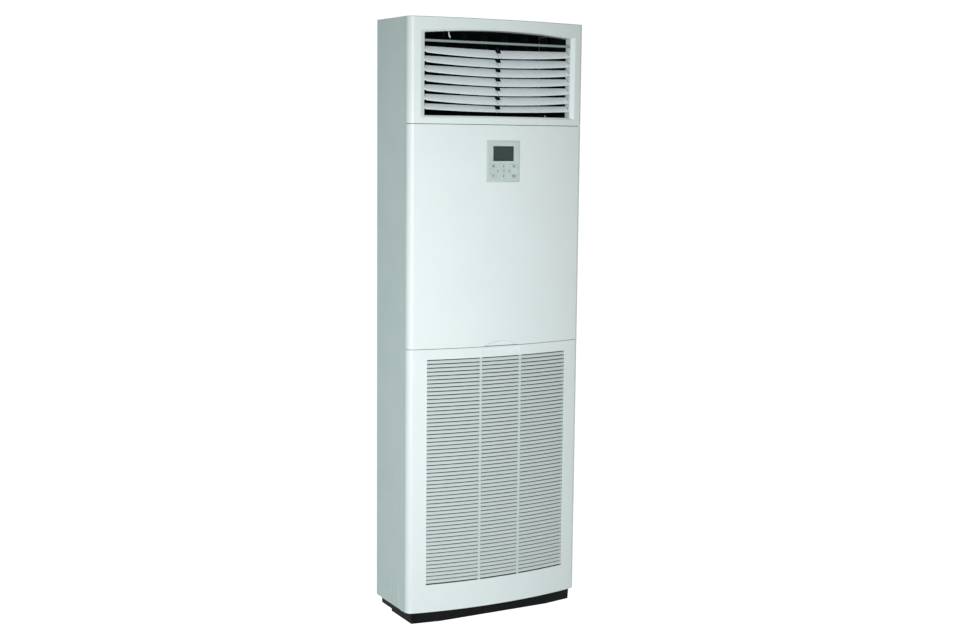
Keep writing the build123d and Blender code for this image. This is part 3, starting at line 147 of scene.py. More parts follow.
class OutletSizes(bpy.types.PropertyGroup):
    """Sizes of the opening with its louvres."""

    half: length("Opening half width", 252, "Half the clear width of the opening")
    low: length("Opening bottom", 1561, "Height of the opening's lower edge")
    corner: length("Opening corners", 1804, "Height of the opening's upper corners")
    crown: length("Crown", 12.5, "Rise of the opening's upper edge to its middle")
    side_bevel: length("Side bevel", 14, "Width of the slope beside the opening")
    end_bevel: length("End bevel", 6, "Height of the slopes over and under the opening")
    slope: length("Slope depth", 5, "How deep the slopes run")
    back: length("Reveal back", -72, "Where the walls beside the louvres end")
    blade_gap: length("Blade gap", 4, "From a blade's end to the wall beside it")
    blade_wall: length("Blade thickness", 2.5, "Thickness of a louvre")
    front_end: length("Blade front at its ends", 7.5, "Pivot to front edge, at the ends")
    front_middle: length("Blade front at its middle", 22, "Pivot to front edge, at the middle")
    last_end: length("Bottom blade's ends", 5, "The same on the short bottom louvre")
    last_middle: length("Bottom blade's middle", 12.8, "The same on the short bottom louvre")
    rear_end: length("Blade rear at its ends", 18, "Pivot to rear edge, at the ends")
    rear_middle: length("Blade rear at its middle", 11, "Pivot to rear edge, at the middle")
    notch: length("Notch", 9, "Half width of the link's notch at the blade's rear edge")
    notch_floor: length("Notch floor", 5, "Half width of the notch at its floor")
    notch_end: length("Notch end", -1.5, "Pivot to the notch's floor")
    tilt: angle("Tilt", 45, "Slope of the louvres")


class DoorSizes(bpy.types.PropertyGroup):
    """Sizes of the intake door."""

    slots: IntProperty(name="Slots", default=59, description="Number of slots", min=3)
    slot: length("Slot height", 4.2, "Clear height of a slot")
    foot: length("Foot band", 86.9, "Plain band under the slots")
    head: length("Head band", 31.6, "Plain band over the slots")
    side: length("Side band", 57, "Plain band beside the slots")
    rib: length("Rib place", 69, "From the middle of the door to a rib")
    rib_width: length("Rib width", 7, "Width of a rib")
    slat_wall: length("Slat wall", 1.5, "Thickness of a slat")
    slat_lean: length("Slat lean", 2.4, "How far a slat's face leans back to its upper edge")
    slat_depth: length("Slat depth", 4.5, "How deep the upper side of a slat runs")
    scoop_height: length("Scoop height", 26, "Height of the finger scoop")
    scoop_depth: length("Scoop depth", 6, "Depth of the finger scoop at its top")
    scoop_gap: length("Scoop gap", 4, "From the scoop to the middle of a rib")
    hinge: length("Hinge place", 60, "From the middle of the door to a hinge")
    hinge_half: length("Hinge half gap", 4.3, "Half the gap between a hinge's two ears")
    ear: length("Ear thickness", 3, "Thickness of a hinge ear")
    ear_round: length("Ear radius", 4, "Radius of a hinge ear round its pin")
    hole: length("Ear hole", 2.05, "Radius of the hole in a hinge ear")


class ControllerSizes(bpy.types.PropertyGroup):
    """Sizes of the controller."""

    lip: length("Hidden lip", 5, "Width of the case's lip behind the centre panel")
    slope: length("Sloped edge", 5.5, "Width of the slope along the case's edges")
    drop: length("Slope depth", 0.8, "How far the slope falls back")
    window: length("Window lip", 2, "How far the case covers the display's edges")
    gap: length("Key gap", 0.25, "Gap round a key")
    rim: length("Key flange", 1.2, "Width of the hidden flange round a key")
    mark: length("Mark height", 0.12, "How far the marks stand out of the keys")


class FinishColours(bpy.types.PropertyGroup):
    """Colours of the visible finishes."""

    pearl: colour("Pearl", 221, 233, 232, "Moulded fronts")
    powder: colour("Powder coat", 187, 208, 206, "Steel sides and lid")
    # Slats: the pearl tone painted darker, as the shade on the recessed slats and ribs
    slats: colour("Slats", 196, 209, 208, "Slats of the intake door")
    # Rail: the pearl tone painted darker, as the shade under the outlet's top
    rail: colour("Rail", 136, 150, 150, "Rail across the outlet")
    silver: colour("Silver", 232, 243, 245, "Louvres")
    black: colour("Black", 6, 9, 10, "Plinth")
    inside: colour("Inside", 14, 20, 20, "Duct, vanes and links")
    controller: colour("Controller", 188, 204, 201, "Controller case")
    mark: colour("Marks", 70, 84, 83, "Marks on the keys")
    display: colour("Display", 42, 60, 58, "Display behind its window")
    # Bare edge: partly the sheared metal's own tone, partly a painted highlight on the ridges
    bare: colour("Bare edge", 222, 234, 233, "Sheared edges of the knock-out")
    floor: colour("Floor", 236, 238, 238, "Studio floor")


class StudioSettings(bpy.types.PropertyGroup):
    """Camera and lamps."""

    lens: FloatProperty(
        name="Lens", default=56.02, description="Focal length on a 36 mm sensor", unit="CAMERA"
    )
    key: FloatProperty(
        name="Key lamp", default=22.5, description="Power of the soft lamp", unit="POWER"
    )
    size: length("Key size", 1800, "Side of the soft lamp")
    grid: angle("Grid", 78, "Opening angle of the lamp's grid")
    fill: FloatProperty(
        name="Fill", default=0.28, description="Strength of the light from all round", min=0
    )
    glow: FloatProperty(
        name="Floor glow", default=0.8, description="How white the floor looks", min=0, max=1
    )


def settings(group):
    """The scene's values of one group."""
    return getattr(bpy.context.scene, "cooler_" + group)


def mm(*values):
    """A point or size written in millimetres."""
    return Vector([value * MM for value in values])


def heights(node):
    """Height of a CAD node's foot and of its head."""
    low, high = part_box(node)
    return low.z, high.z


# ---- Modelling by hand --------------------------------------------------------------------
def clear():
    """Object mode, with nothing selected."""
    if bpy.context.object and bpy.context.object.mode != "OBJECT":
        bpy.ops.object.mode_set(mode="OBJECT")
    bpy.ops.object.select_all(action="DESELECT")


def only(piece):
    """Selects one piece and makes it active."""
    clear()
    piece.select_set(True)
    bpy.context.view_layer.objects.active = piece
    return piece


def settle(piece):
    """Puts a piece's place, turn and scale into its mesh."""
    only(piece)
    bpy.ops.object.transform_apply(location=True, rotation=True, scale=True)
    return piece


def named(piece, name):
    """Gives a piece and its mesh one name."""
    piece.name = piece.data.name = name
    return piece


def fresh(name):
    """The new primitive under its name, with its place in its mesh."""
    return settle(named(bpy.context.object, name))


def edit(piece):
    """Starts editing a piece."""
    only(piece)
    bpy.ops.object.mode_set(mode="EDIT")


def choose(piece, kind="verts", test=lambda middle: True, rim=False):
    """Selects the verts, edges or faces whose middle passes the test, or only open edges."""
    bpy.ops.mesh.select_mode(type={"verts": "VERT", "edges": "EDGE", "faces": "FACE"}[kind])
    bpy.ops.mesh.select_all(action="DESELECT")
    mesh = bmesh.from_edit_mesh(piece.data)
    for item in getattr(mesh, kind):
        corners = [item] if kind == "verts" else item.verts
        middle = sum((corner.co for corner in corners), Vector()) / len(corners)
        if test(middle) and (not rim or item.is_boundary):
            item.select_set(True)
    mesh.select_flush_mode()
    bmesh.update_edit_mesh(piece.data)


def shape(piece, change):
    """Moves each selected vertex to where the change puts it."""
    mesh = bmesh.from_edit_mesh(piece.data)
    for corner in mesh.verts:
        if corner.select:
            corner.co = change(corner.co.copy())
    bmesh.update_edit_mesh(piece.data)


def drop_faces(piece, test):
    """Deletes the faces whose middle passes the test."""
    choose(piece, "faces", test)
    bpy.ops.mesh.delete(type="FACE")


def merge(piece):
    """Selects all of a piece and merges the vertices that meet."""
    choose(piece)
    bpy.ops.mesh.remove_doubles(threshold=TINY)


def face_out(piece):
    """Selects all of a piece and turns its faces outwards."""
    choose(piece)
    bpy.ops.mesh.normals_make_consistent(inside=False)


def saw(axis, *places, drop=None):
    """Cuts all faces at places on an axis, and drops what lies below or above the cut."""
    index = "XYZ".index(axis)
    for place in places:
        spot, normal = Vector(), Vector()
        spot[index], normal[index] = place, 1
        bpy.ops.mesh.select_all(action="SELECT")
        bpy.ops.mesh.bisect(
            plane_co=spot,
            plane_no=normal,
            clear_inner=drop == "below",
            clear_outer=drop == "above",
        )


def pull(x=0.0, y=0.0, z=0.0):
    """Extrudes the selected edges by this much."""
    bpy.ops.mesh.extrude_edges_move(TRANSFORM_OT_translate={"value": (x, y, z)})


def flatten(axis, place):
    """Brings what is selected to one place on an axis."""
    spot, value = Vector(), Vector((1, 1, 1))
    index = "XYZ".index(axis)
    spot[index], value[index] = place, 0
    bpy.ops.transform.resize(value=value, center_override=spot)


def modify(piece, kind, **values):
    """Adds a modifier with these values and applies it."""
    only(piece)
    bpy.ops.object.modifier_add(type=kind)
    modifier = piece.modifiers[-1]
    for key, value in values.items():
        setattr(modifier, key, value)
    bpy.ops.object.modifier_apply(modifier=modifier.name)
    return piece


def mirror(piece):
    """Adds the other half of a piece, and merges them where they meet."""
    return modify(piece, "MIRROR", use_axis=(True, False, False), merge_threshold=TINY)


def soften(piece, width, segments=2, sharp=30):
    """Rounds the sharp edges of a piece and smooths its shading."""
    limit = radians(sharp)
    rounding = {"width": width, "segments": segments, "angle_limit": limit}
    modify(piece, "BEVEL", limit_method="ANGLE", **rounding)
    bpy.ops.object.shade_smooth_by_angle(angle=limit)
    return piece


def even_shading(piece):
    """Keeps the shading of the large faces free of their narrow rounded edges."""
    return modify(piece, "WEIGHTED_NORMAL", mode="FACE_AREA", weight=50, keep_sharp=True)


def thicken(piece, wall, offset=-1.0):
    """Gives a sheet its wall."""
    return modify(piece, "SOLIDIFY", thickness=wall, offset=offset, use_even_offset=True)


def subtract(piece, *tools):
    """Cuts closed tools out of a piece and deletes them."""
    for tool in tools:
        modify(piece, "BOOLEAN", object=tool, operation="DIFFERENCE", solver="EXACT")
        bpy.data.objects.remove(tool)
    return piece


def join(piece, *others):
    """Joins the others into the first piece."""
    only(piece)
    for other in others:
        other.select_set(True)
    bpy.ops.object.join()
    return piece


def twin(piece, name, move=(0, 0, 0)):
    """A copy with its own mesh, moved by this much."""
    only(piece)
    bpy.ops.object.duplicate()
    bpy.ops.transform.translate(value=move)
    return fresh(name)


def block(name, low, high, edge=0.0, segments=2):
    """A box between two corners with rounded edges."""
    low, high = Vector(low), Vector(high)
    clear()
    bpy.ops.mesh.primitive_cube_add(size=1, location=(low + high) / 2, scale=high - low)
    piece = fresh(name)
    return soften(piece, edge, segments) if edge else piece


def sheet(name, width, depth, columns=1, rows=1):
    """A level sheet about the origin, divided into columns and rows."""
    clear()
    bpy.ops.mesh.primitive_grid_add(x_subdivisions=columns, y_subdivisions=rows, size=1)
    bpy.ops.transform.resize(value=(width, depth, 1))
    return fresh(name)


def rod(name, start, end, radius, sides=24, edge=0.0):
    """A round bar between two points with rounded ends."""
    start, end = Vector(start), Vector(end)
    way = end - start
    clear()
    bpy.ops.mesh.primitive_cylinder_add(
        vertices=sides,
        radius=radius,
        depth=way.length,
        location=(start + end) / 2,
        rotation=way.to_track_quat("Z", "Y").to_euler(),
    )
    piece = fresh(name)
    return soften(piece, edge) if edge else piece


def paint(piece, finish_name):
    """Gives a whole piece one finish."""
    piece.data.materials.clear()
    piece.data.materials.append(finish(finish_name))
    return piece


def finished(piece, body, slot, finish_name, *nodes):
    """Sets a piece on its body with its finish, in place of its CAD nodes; the slot is not used."""
    if finish_name:
        paint(piece, finish_name)
    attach(piece, body)
    if nodes:
        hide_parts(*nodes)


# ---- Bowed fronts -------------------------------------------------------------------------
def bow_radius():
    """Radius of the bowed front."""
    rise = settings("casing").bow_rise
    return (HALF_WIDTH**2 + rise**2) / (2 * rise)


def bow_y(x):
    """How far back the bowed front lies at a place across it."""
    radius = bow_radius()
    return FRONT + radius - sqrt(radius**2 - x**2)


def bow_edge():
    """Where the bow runs into the front corner."""
    radius, corner = bow_radius(), settings("casing").corner
    return (HALF_WIDTH - corner) * radius / (radius - corner)


def arch(x, half, rise):
    """Height of an arch at a place across it."""
    return rise * (1 - (x / half) ** 2)


def bow_strip(name, low, high, left, right, inset=0.0, sides=720):
    """A strip of the bow, cut from a tall thin walled cylinder, open at its edges."""
    radius = bow_radius()
    clear()
    bpy.ops.mesh.primitive_cylinder_add(
        vertices=sides,
        radius=radius - inset,
        depth=high - low,
        end_fill_type="NOTHING",
        location=(0, FRONT + radius, (low + high) / 2),
    )
    strip = fresh(name)
    edit(strip)
    saw("Y", FRONT + 100 * MM, drop="above")
    saw("X", left, drop="below")
    saw("X", right, drop="above")
    return strip


def half_front(name, low, high):
    """Right half of a moulded front's outer face, open at its edges, in edit mode."""
    radius, corner, edge = bow_radius(), settings("casing").corner, bow_edge()
    strip = bow_strip(name, low, high, 0, edge)
    centre_x = HALF_WIDTH - corner
    centre_y = FRONT + radius - sqrt((radius - corner) ** 2 - centre_x**2)
    choose(strip, "edges", lambda m: abs(m.x - edge) < TINY)
    turn = pi / 2 - asin(centre_x / (radius - corner))
    centre = (centre_x, centre_y, 0)
    bpy.ops.mesh.spin(steps=10, angle=-turn, center=centre, axis=(0, 0, 1))
    choose(strip, "edges", lambda m: abs(m.x - HALF_WIDTH) < TINY)
    pull(y=MOULDING_BACK - centre_y)
    return strip


def follow_bow(piece):
    """Puts the vertices that cuts have left on the bow's facets back on its curve."""
    edge = bow_edge() - TINY
    choose(piece, "verts", lambda m: abs(m.x) < edge and abs(m.y - bow_y(m.x)) < 0.1 * MM)
    shape(piece, lambda spot: Vector((spot.x, bow_y(spot.x), spot.z)))


def flanges(piece, *places):
    """Folds the front's edges at these heights straight back towards the filter."""
    limit = bow_edge()
    for place in places:
        choose(
            piece,
            "edges",
            lambda m: abs(m.z - place) < TINY and TINY < m.x < limit and m.y < BOW_BACK,
            rim=True,
        )
        pull()
        flatten("Y", FILTER_FACE - settings("casing").lip_gap)


def whole_front(piece):
    """Mirrors the half, merges it, gives it its wall and softens its edges."""
    casing = settings("casing")
    merge(piece)
    bpy.ops.mesh.dissolve_degenerate(threshold=TINY)
    thicken(mirror(piece), casing.wall)
    return even_shading(soften(piece, casing.edge))


# ---- Stage --------------------------------------------------------------------------------
class COOLER_OT_stage(bpy.types.Operator):
    """Builds the floor, the soft lamp and the camera"""

    bl_idname = "cooler.stage"
    bl_label = "Studio Stage"

    def execute(self, context):
        studio = settings("studio")
        scene = context.scene
        scene.view_settings.view_transform = "Standard"
        self.backdrop()
        self.surroundings(scene, studio)
        self.lamp(scene, studio)
        self.camera(scene, studio)
        return {"FINISHED"}

    def backdrop(self):
        """A floor that curves up into a wall behind the object."""
        floor = sheet("backdrop", BACKDROP_WIDTH, BACKDROP_DEPTH)
        edge = BACKDROP_DEPTH / 2
        edit(floor)
        choose(floor, "edges", lambda m: m.y > edge - 0.1)
        bpy.ops.mesh.spin(
            steps=16, angle=-pi / 2, center=(0, edge, BACKDROP_BEND), axis=(1, 0, 0)
        )
        choose(floor, "edges", lambda m: m.z > BACKDROP_BEND - 0.01)
        pull(z=BACKDROP_WALL)
        only(floor)
        bpy.ops.object.shade_smooth()
        paint(floor, "pale_floor")

    def surroundings(self, scene, studio):
        """A plain white background, and weaker light from all round."""
        world = scene.world = bpy.data.worlds.new("studio")
        world.use_nodes = True
        tree = world.node_tree
        background = tree.nodes["Background"].inputs
        strength = spread(tree, seen_directly(tree), 0.0, 1.0, studio.fill, 1.0)
        feed(background["Strength"], strength)
        feed(background["Color"], (1, 1, 1, 1))

    def lamp(self, scene, studio):
        """A soft box with a grid, aimed at the object, which the camera doesn't see."""
        data = bpy.data.lights.new("key_lamp", "AREA")
        data.shape, data.size = "SQUARE", studio.size
        data.energy, data.spread = studio.key, studio.grid
        lamp = bpy.data.objects.new("key_lamp", data)
        scene.collection.objects.link(lamp)
        lamp.location = LAMP_PLACE
        way = Vector(LAMP_TARGET) - Vector(LAMP_PLACE)
        lamp.rotation_euler = way.to_track_quat("-Z", "Y").to_euler()
        lamp.visible_camera = False

    def camera(self, scene, studio):
        """The camera at the photograph's viewing angle."""
        yaw, pitch, roll = CAMERA_YAW, CAMERA_PITCH, CAMERA_ROLL
        ahead = Vector((sin(yaw) * cos(pitch), cos(yaw) * cos(pitch), -sin(pitch)))
        right = Vector((cos(yaw), -sin(yaw), 0))
        up = right.cross(ahead)
        right, up = cos(roll) * right + sin(roll) * up, cos(roll) * up - sin(roll) * right
        data = bpy.data.cameras.new("camera")
        data.lens, data.sensor_width, data.shift_x = studio.lens, SENSOR_WIDTH, CAMERA_SHIFT
        camera = bpy.data.objects.new("camera", data)
        scene.collection.objects.link(camera)
        turn = Matrix((right, up, -ahead)).transposed().to_4x4()
        camera.matrix_world = Matrix.Translation(CAMERA_PLACE) @ turn
        scene.camera = camera


# ---- Finishes -----------------------------------------------------------------------------
def feed(socket, value):
    """Feeds a socket from another one, or gives it a value of its own."""
    if isinstance(value, bpy.types.NodeSocket):
        socket.id_data.links.new(value, socket)
    else:
        socket.default_value = value


def add(tree, kind, values=None, **options):
    """The outputs of a new node with these options, and with values or sockets fed to it."""
    node = tree.nodes.new("ShaderNode" + kind)
    for key, value in options.items():
        setattr(node, key, value)
    for key, value in (values or {}).items():
        feed(node.inputs[key], value)
    return node.outputs


def reckon(tree, operation, first, second=0.0):
    """One sum of two values, each a socket or a number."""
    return add(tree, "Math", {0: first, 1: second}, operation=operation)[0]


def spread(tree, value, low, high, start=0.0, end=1.0):
    """Brings a value from one range to another, held at both ends."""
    values = {"Value": value, "From Min": low, "From Max": high, "To Min": start, "To Max": end}
    return add(tree, "MapRange", values)["Result"]


def blend_colours(tree, factor, first, second):
    """Two colours, mixed by a factor."""
    values = {"Factor": factor, "A": first, "B": second}
    return add(tree, "Mix", values, data_type="RGBA")["Result"]


def seen_directly(tree):
    """One for rays from the camera, mirrors and glass, and nought for the light itself."""
    path = add(tree, "LightPath")
    seen = path["Is Camera Ray"]
    for ray in ("Is Glossy Ray", "Is Transmission Ray"):
        seen = reckon(tree, "MAXIMUM", seen, path[ray])
    return seen


def own_place(tree):
    """Places over an object in its own coordinates."""
    return add(tree, "TexCoord")["Object"]


def placed_noise(tree, scale, detail, roughness):
    """Noise over the object's own place."""
    values = {"Vector": own_place(tree), "Scale": scale, "Detail": detail, "Roughness": roughness}
    return add(tree, "TexNoise", values)["Fac"]


def grain(tree, given, out):
    """Fine moulding grain as a height in metres."""
    noise = placed_noise(tree, given["Scale"], 3.0, 0.6)
    feed(out["Height"], reckon(tree, "MULTIPLY", noise, given["Depth"]))


def mottle(tree, given, out):
    """Slow change of colour and gloss over a surface."""
    noise = placed_noise(tree, given["Scale"], 4.0, 0.55)
    amount = reckon(tree, "MULTIPLY", noise, given["Darkening"])
    feed(out["Colour"], blend_colours(tree, amount, given["Colour"], (0, 0, 0, 1)))
    gloss = given["Gloss low"], given["Gloss high"]
    feed(out["Roughness"], spread(tree, noise, 0.3, 0.7, *gloss))


def dust(tree, given, out):
    """Thin dust that settles on what faces up."""
    facing = add(tree, "SeparateXYZ", {"Vector": add(tree, "NewGeometry")["Normal"]})
    up = spread(tree, facing["Z"], 0.4, 1.0)
    cloud = spread(tree, placed_noise(tree, 26.0, 6.0, 0.7), 0.35, 0.75)
    mask = reckon(tree, "MULTIPLY", reckon(tree, "MULTIPLY", up, cloud), given["Amount"])
    feed(out["Colour"], blend_colours(tree, mask, given["Colour"], given["Dust"]))


def spangle(tree, given, out):
    """Crystal pattern of zinc, as a tone and a gloss for each crystal."""
    values = {"Vector": own_place(tree), "Scale": given["Scale"], "Randomness": 1.0}
    crystals = add(tree, "SeparateColor", {"Color": add(tree, "TexVoronoi", values)["Color"]})
    amount = reckon(tree, "MULTIPLY", crystals["Red"], given["Contrast"])
    shadow = (0.05, 0.06, 0.07, 1)
    feed(out["Colour"], blend_colours(tree, amount, given["Colour"], shadow))
    feed(out["Roughness"], spread(tree, crystals["Green"], 0.0, 1.0, 0.32, 0.55))


def ribs(tree, given, out):
    """Even fine ribs along a direction, as a mask from groove to crest."""
    values = {0: own_place(tree), 1: given["Direction"]}
    along = add(tree, "VectorMath", values, operation="DOT_PRODUCT")["Value"]
    part = reckon(tree, "FRACT", reckon(tree, "DIVIDE", along, given["Pitch"]))
    from_middle = reckon(tree, "ABSOLUTE", reckon(tree, "SUBTRACT", part, 0.5))
    half = reckon(tree, "MULTIPLY", given["Crest"], 0.5)
    inside = reckon(tree, "SUBTRACT", half, from_middle)
    feed(out["Mask"], spread(tree, inside, -0.06, 0.06))


SOCKET_KINDS = {"Colour": "Color", "Dust": "Color", "Direction": "Vector"}
EFFECTS = {
    "fine_grain": (grain, ("Scale", "Depth"), ("Height",)),
    "soft_mottle": (
        mottle,
        ("Colour", "Scale", "Darkening", "Gloss low", "Gloss high"),
        ("Colour", "Roughness"),
    ),
    "settled_dust": (dust, ("Colour", "Dust", "Amount"), ("Colour",)),
    "zinc_spangle": (spangle, ("Colour", "Scale", "Contrast"), ("Colour", "Roughness")),
    "even_ribs": (ribs, ("Direction", "Pitch", "Crest"), ("Mask",)),
}


def build_effect(name):
    """Builds a shared effect as a node group with named sockets."""
    build, inputs, outputs = EFFECTS[name]
    tree = bpy.data.node_groups.new(name, "ShaderNodeTree")
    for way, labels in (("INPUT", inputs), ("OUTPUT", outputs)):
        for label in labels:
            kind = "NodeSocket" + SOCKET_KINDS.get(label, "Float")
            tree.interface.new_socket(label, in_out=way, socket_type=kind)
    given, out = tree.nodes.new("NodeGroupInput"), tree.nodes.new("NodeGroupOutput")
    build(tree, given.outputs, out.inputs)


def effect(tree, name, **values):
    """The outputs of a shared effect, placed with its own values or sockets."""
    if name not in bpy.data.node_groups:
        build_effect(name)
    values = {key.replace("_", " "): value for key, value in values.items()}
    return add(tree, "Group", values, node_tree=bpy.data.node_groups[name])


def mottled(tree, rgb, scale, darkening, gloss):
    """A colour with soft mottle, and its roughness between two values."""
    values = {"Scale": scale, "Darkening": darkening, "Gloss_low": gloss[0], "Gloss_high": gloss[1]}
    return effect(tree, "soft_mottle", Colour=(*rgb, 1), **values)


def grained(tree, scale, depth):
    """Height of a fine grain."""
    return effect(tree, "fine_grain", Scale=scale, Depth=depth)["Height"]


def surface(tree, shader, colour, roughness, height=None):
    """Feeds the shader what changes over a surface, its height in metres."""
    feed(shader.inputs["Base Color"], colour)
    feed(shader.inputs["Roughness"], roughness)
    if height is not None:
        values = {"Strength": 1.0, "Distance": 1.0, "Height": height}
        feed(shader.inputs["Normal"], add(tree, "Bump", values)["Normal"])


def set_shader(shader, metallic=0.0, coat=0.0, specular=0.5, coat_roughness=0.2):
    """Sets what is the same all over a surface."""
    shader.inputs["Metallic"].default_value = metallic
    shader.inputs["Coat Weight"].default_value = coat
    shader.inputs["Coat Roughness"].default_value = coat_roughness
    shader.inputs["Specular IOR Level"].default_value = specular


# Finishes with mottle (scale and darkening), grain (scale and depth in metres) and dust. A tone
# is a name in FinishColours or a linear colour, and gloss is the lowest and highest roughness.
MOULDED = {
    # Pale semi gloss moulding
    "pearl_moulding": {
        "tone": "pearl", "gloss": (0.36, 0.46), "dust": 0.08, "coat": 0.05, "specular": 0.35
    },
    # Pearl moulding of the rail across the outlet, painted grey as the shade under the outlet's top
    "rail_moulding": {"tone": "rail", "gloss": (0.4, 0.5), "dust": 0.2},
    # The door's pearl moulding inside its slotted fields, painted darker as the shade on the
    # recessed slats and ribs
    "slat_moulding": {"tone": "slats", "gloss": (0.4, 0.5), "dust": 0.2},
    # Satin silver moulding
    "silver_louvre": {"tone": "silver", "gloss": (0.4, 0.5), "dust": 0.25},
    # Satin powder coat with a slight orange peel
    "powder_coat": {
        "tone": "powder", "gloss": (0.42, 0.52), "grain": (420.0, 0.00003), "dust": 0.2
    },
    # Sheared edge of coated sheet, painted brighter as the highlight along the knock-out's ridges
    "bare_edge": {"tone": "bare", "gloss": (0.3, 0.42), "mottle": (160.0, 0.15)},
    # Matt black moulding with a coarse grain
    "black_moulding": {
        "tone": "black", "gloss": (0.6, 0.75), "mottle": (14, 0.2), "grain": (900.0, 0.00004),
        "specular": 0.12,
    },
    # Near black moulding inside the outlet
    "dark_moulding": {
        "tone": "inside", "gloss": (0.6, 0.75), "mottle": (20, 0.2), "specular": 0.15
    },
    # Dark grey moulding of the wheel, the pan and the filter's frame
    "graphite_moulding": {
        "tone": (0.035, 0.038, 0.04), "gloss": (0.42, 0.58), "mottle": (18, 0.25),
        "grain": (1100.0, 0.00002), "dust": 0.3,
    },
    # Black cellular foam
    "foam_lining": {
        "tone": "inside", "gloss": (0.85, 0.97), "mottle": (60, 0.4), "grain": (700.0, 0.0004),
        "specular": 0.1,
    },
    # Fine grained casing of the controller
    "controller_case": {
        "tone": "controller", "gloss": (0.4, 0.5), "mottle": (25, 0.05),
        "grain": (2400.0, 0.000008),
    },
    # Slightly smoother key caps, a little worn by fingers
    "key_caps": {
        "tone": "controller", "gloss": (0.25, 0.45), "mottle": (90, 0.1),
        "grain": (2600.0, 0.000006),
    },
    # Printed marks of the keys
    "key_marks": {"tone": "mark", "gloss": (0.4, 0.55), "mottle": (200, 0.2)},
    # Painted steel can of a motor
    "motor_can": {
        "tone": (0.16, 0.17, 0.18), "gloss": (0.35, 0.5), "mottle": (30, 0.3),
        "grain": (600.0, 0.00002), "dust": 0.3, "metallic": 0.6,
    },
}


def moulded(
    tree, shader, tone, gloss, mottle=(9.0, 0.05), grain=(1500.0, 0.00001), dust=0.0, **shine
):
    """A finish with soft mottle, fine grain and dust."""
    rgb = getattr(settings("colours"), tone) if isinstance(tone, str) else tone
    tint = mottled(tree, rgb, *mottle, gloss)
    colour = tint["Colour"]
    if dust:
        values = {"Colour": colour, "Dust": (0.42, 0.4, 0.36, 1), "Amount": dust}
        colour = effect(tree, "settled_dust", **values)["Colour"]
    surface(tree, shader, colour, tint["Roughness"], grained(tree, *grain))
    set_shader(shader, **shine)


def pale_floor(tree, shader):
    """Pale studio floor that looks white and keeps the shadow."""
    glow = reckon(tree, "MULTIPLY", seen_directly(tree), settings("studio").glow)
    values = {
        "Base Color": (*settings("colours").floor, 1),
        "Roughness": 0.9,
        "Specular IOR Level": 0.1,
        "Emission Color": (1, 1, 1, 1),
        "Emission Strength": glow,
    }
    for label, value in values.items():
        feed(shader.inputs[label], value)


def zinc(tree, shader):
    """Zinc coated sheet with its crystals."""
    sheen = effect(tree, "zinc_spangle", Colour=(0.6, 0.62, 0.63, 1), Scale=110.0, Contrast=0.3)
    values = {"Colour": sheen["Colour"], "Dust": (0.4, 0.38, 0.35, 1), "Amount": 0.3}
    colour = effect(tree, "settled_dust", **values)["Colour"]
    surface(tree, shader, colour, sheen["Roughness"], grained(tree, 500.0, 0.00001))
    set_shader(shader, metallic=0.85)


def copper(tree, shader):
    """Bare copper with brown tarnish."""
    clean = mottled(tree, (0.72, 0.33, 0.19), 35.0, 0.3, (0.2, 0.4))
    patches = spread(tree, placed_noise(tree, 12.0, 8.0, 0.7), 0.5, 0.68, 0.0, 0.8)
    colour = blend_colours(tree, patches, clean["Colour"], (0.13, 0.06, 0.035, 1))
    surface(tree, shader, colour, clean["Roughness"], grained(tree, 700.0, 0.00001))
    set_shader(shader, metallic=1.0)


def fins(tree, shader):
    """Aluminium fins, one every 1.8 mm, with painted shade in the gaps between them."""
    crest = effect(tree, "even_ribs", Direction=(1, 0, 0), Pitch=0.0018, Crest=0.4)["Mask"]
    tone = mottled(tree, (0.75, 0.77, 0.78), 40.0, 0.25, (0.3, 0.45))
    # The near black between the crests is painted shade in the gaps between the fins
    colour = blend_colours(tree, crest, (0.1, 0.1, 0.11, 1), tone["Colour"])
    surface(tree, shader, colour, tone["Roughness"], reckon(tree, "MULTIPLY", crest, 0.0004))
    set_shader(shader, metallic=0.8)


def net(tree, shader):
    """Black filter net with a clear mesh."""
    threads = [
        effect(tree, "even_ribs", Direction=way, Pitch=0.0016, Crest=0.4)["Mask"]
        for way in ((1, 0, 0), (0, 0, 1))
    ]
    feed(shader.inputs["Alpha"], reckon(tree, "MAXIMUM", *threads))
    tone = mottled(tree, (0.02, 0.022, 0.024), 40.0, 0.3, (0.5, 0.7))
    surface(tree, shader, tone["Colour"], tone["Roughness"])


def display(tree, shader):
    """Display behind clear plastic, with a darker border."""
    low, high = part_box("controller_screen")
    place = add(tree, "SeparateXYZ", {"Vector": own_place(tree)})
    border, soft = 5.5 * MM, 1.2 * MM
    side = reckon(tree, "ABSOLUTE", place["X"])
    lit = spread(tree, side, high.x - border + soft, high.x - border)
    for start, end in (
        (low.z + border, low.z + border + soft),
        (high.z - border, high.z - border - soft),
    ):
        lit = reckon(tree, "MINIMUM", lit, spread(tree, place["Z"], start, end))
    shown = settings("colours").display
    tone = mottled(tree, shown, 45.0, 0.12, (0.18, 0.26))
    edge = (*[part * 0.55 for part in shown], 1)
    surface(tree, shader, blend_colours(tree, lit, edge, tone["Colour"]), tone["Roughness"])
    set_shader(shader, coat=0.15, specular=0.25, coat_roughness=0.08)


